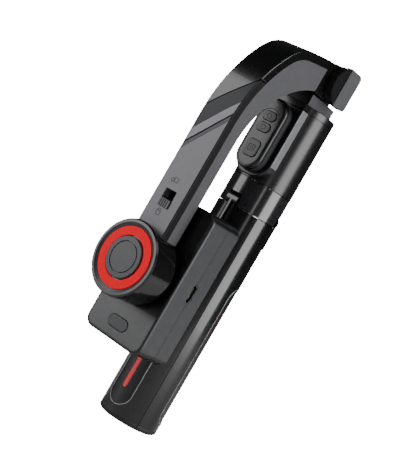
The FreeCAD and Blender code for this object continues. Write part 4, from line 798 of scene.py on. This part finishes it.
# %% Room light
ROOM_GLOW = 0.04
world = bpy.data.worlds.new("dim_room")
bpy.context.scene.world = world
world.use_nodes = True
world.node_tree.nodes.clear()
dim = add_node(world.node_tree, "ShaderNodeBackground", {}, {
    "Color": linear("#ffffff"), "Strength": ROOM_GLOW})
pale = add_node(world.node_tree, "ShaderNodeBackground", {}, {
    "Color": linear("#ffffff"), "Strength": WHITE_GLOW})
looked_at = add_node(world.node_tree, "ShaderNodeLightPath")
room = add_node(world.node_tree, "ShaderNodeMixShader", {}, {
    0: looked_at.outputs["Is Camera Ray"], 1: dim.outputs["Background"], 2: pale.outputs["Background"]})
add_node(world.node_tree, "ShaderNodeOutputWorld", {}, {"Surface": room.outputs["Shader"]})
print("room glow for reflections:", ROOM_GLOW)

# %% [markdown]
# ## The lights
# A tall soft light at each side draws one long streak down every round black piece. The right
# one is the strongest and stands well to the side, so that it lights the edges and leaves the
# flat faces dark. A narrow light in front and a weak one above keep the shadows from closing.

# %% Soft lights
LIGHT_AIM = Vector((0, -0.02, 0.1))


def soft_light(name, side_degrees, height, distance, width, tall, watts):
    """A soft light that looks at the object's middle. Its side is measured from the front."""
    lamp_data = bpy.data.lights.new(name, "AREA")
    lamp_data.shape = "RECTANGLE"
    lamp_data.size, lamp_data.size_y = width, tall
    lamp_data.energy = watts
    light = bpy.data.objects.new(name, lamp_data)
    side = math.radians(side_degrees)
    light.location = (distance * math.sin(side), -distance * math.cos(side), height)
    aim = LIGHT_AIM - light.location
    light.rotation_euler = aim.to_track_quat("-Z", "Y").to_euler()
    bpy.context.scene.collection.objects.link(light)
    print(name, "gives", watts, "watts")


soft_light("right_strip", 101, height=0.25, distance=0.75, width=0.5, tall=0.9, watts=11)
soft_light("left_strip", -42, height=0.2, distance=0.8, width=0.45, tall=0.9, watts=5)
soft_light("front_fill", 52, height=0.45, distance=1.1, width=0.15, tall=0.9, watts=1)
soft_light("top_fill", 20, height=1.1, distance=0.9, width=0.9, tall=0.5, watts=2.5)

# %% [markdown]
# ## The camera
# The object leans in the picture although it stands upright, because the camera is rolled about its own
# line of sight. Its three directions are built from the roll. The lens follows from how much height the
# view has to hold at the object's distance.

# %% Camera
CAMERA_DISTANCE = 0.6
CAMERA_SIDE = math.radians(38.9)
away = Vector((-math.sin(CAMERA_SIDE), math.cos(CAMERA_SIDE), 0))
across = Vector((math.cos(CAMERA_SIDE), math.sin(CAMERA_SIDE), 0))
CAMERA_ROLL = math.radians(30.1)
LEVEL, AIM_ACROSS = 0.096, -15.1 * MM
SENSOR_MM = 36.0
VIEW_HEIGHT = 0.219047619
up = Vector((0, 0, 1))
right_of_view = across * math.cos(CAMERA_ROLL) + up * math.sin(CAMERA_ROLL)
up_of_view = up * math.cos(CAMERA_ROLL) - across * math.sin(CAMERA_ROLL)
aim_point = across * AIM_ACROSS + up * LEVEL
camera_data = bpy.data.cameras.new("studio_camera")
camera_data.sensor_fit = "VERTICAL"
camera_data.sensor_height = SENSOR_MM
camera_data.lens = SENSOR_MM * CAMERA_DISTANCE / VIEW_HEIGHT
camera_data.clip_start = 0.01
camera = bpy.data.objects.new("studio_camera", camera_data)
turned_view = Matrix((right_of_view, up_of_view, -away)).transposed().to_4x4()
camera.matrix_world = Matrix.Translation(aim_point - away * CAMERA_DISTANCE) @ turned_view
bpy.context.scene.collection.objects.link(camera)
bpy.context.scene.camera = camera
print("camera lens in mm:", round(camera_data.lens, 1))

# %% [markdown]
# ## Measure and finish
# The finished model has to be as large as the CAD model, so its visual box is printed.

# %% Measure and finish
low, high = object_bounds()
print("visual box in mm:", [round((b - a) / MM, 1) for a, b in zip(low, high)])
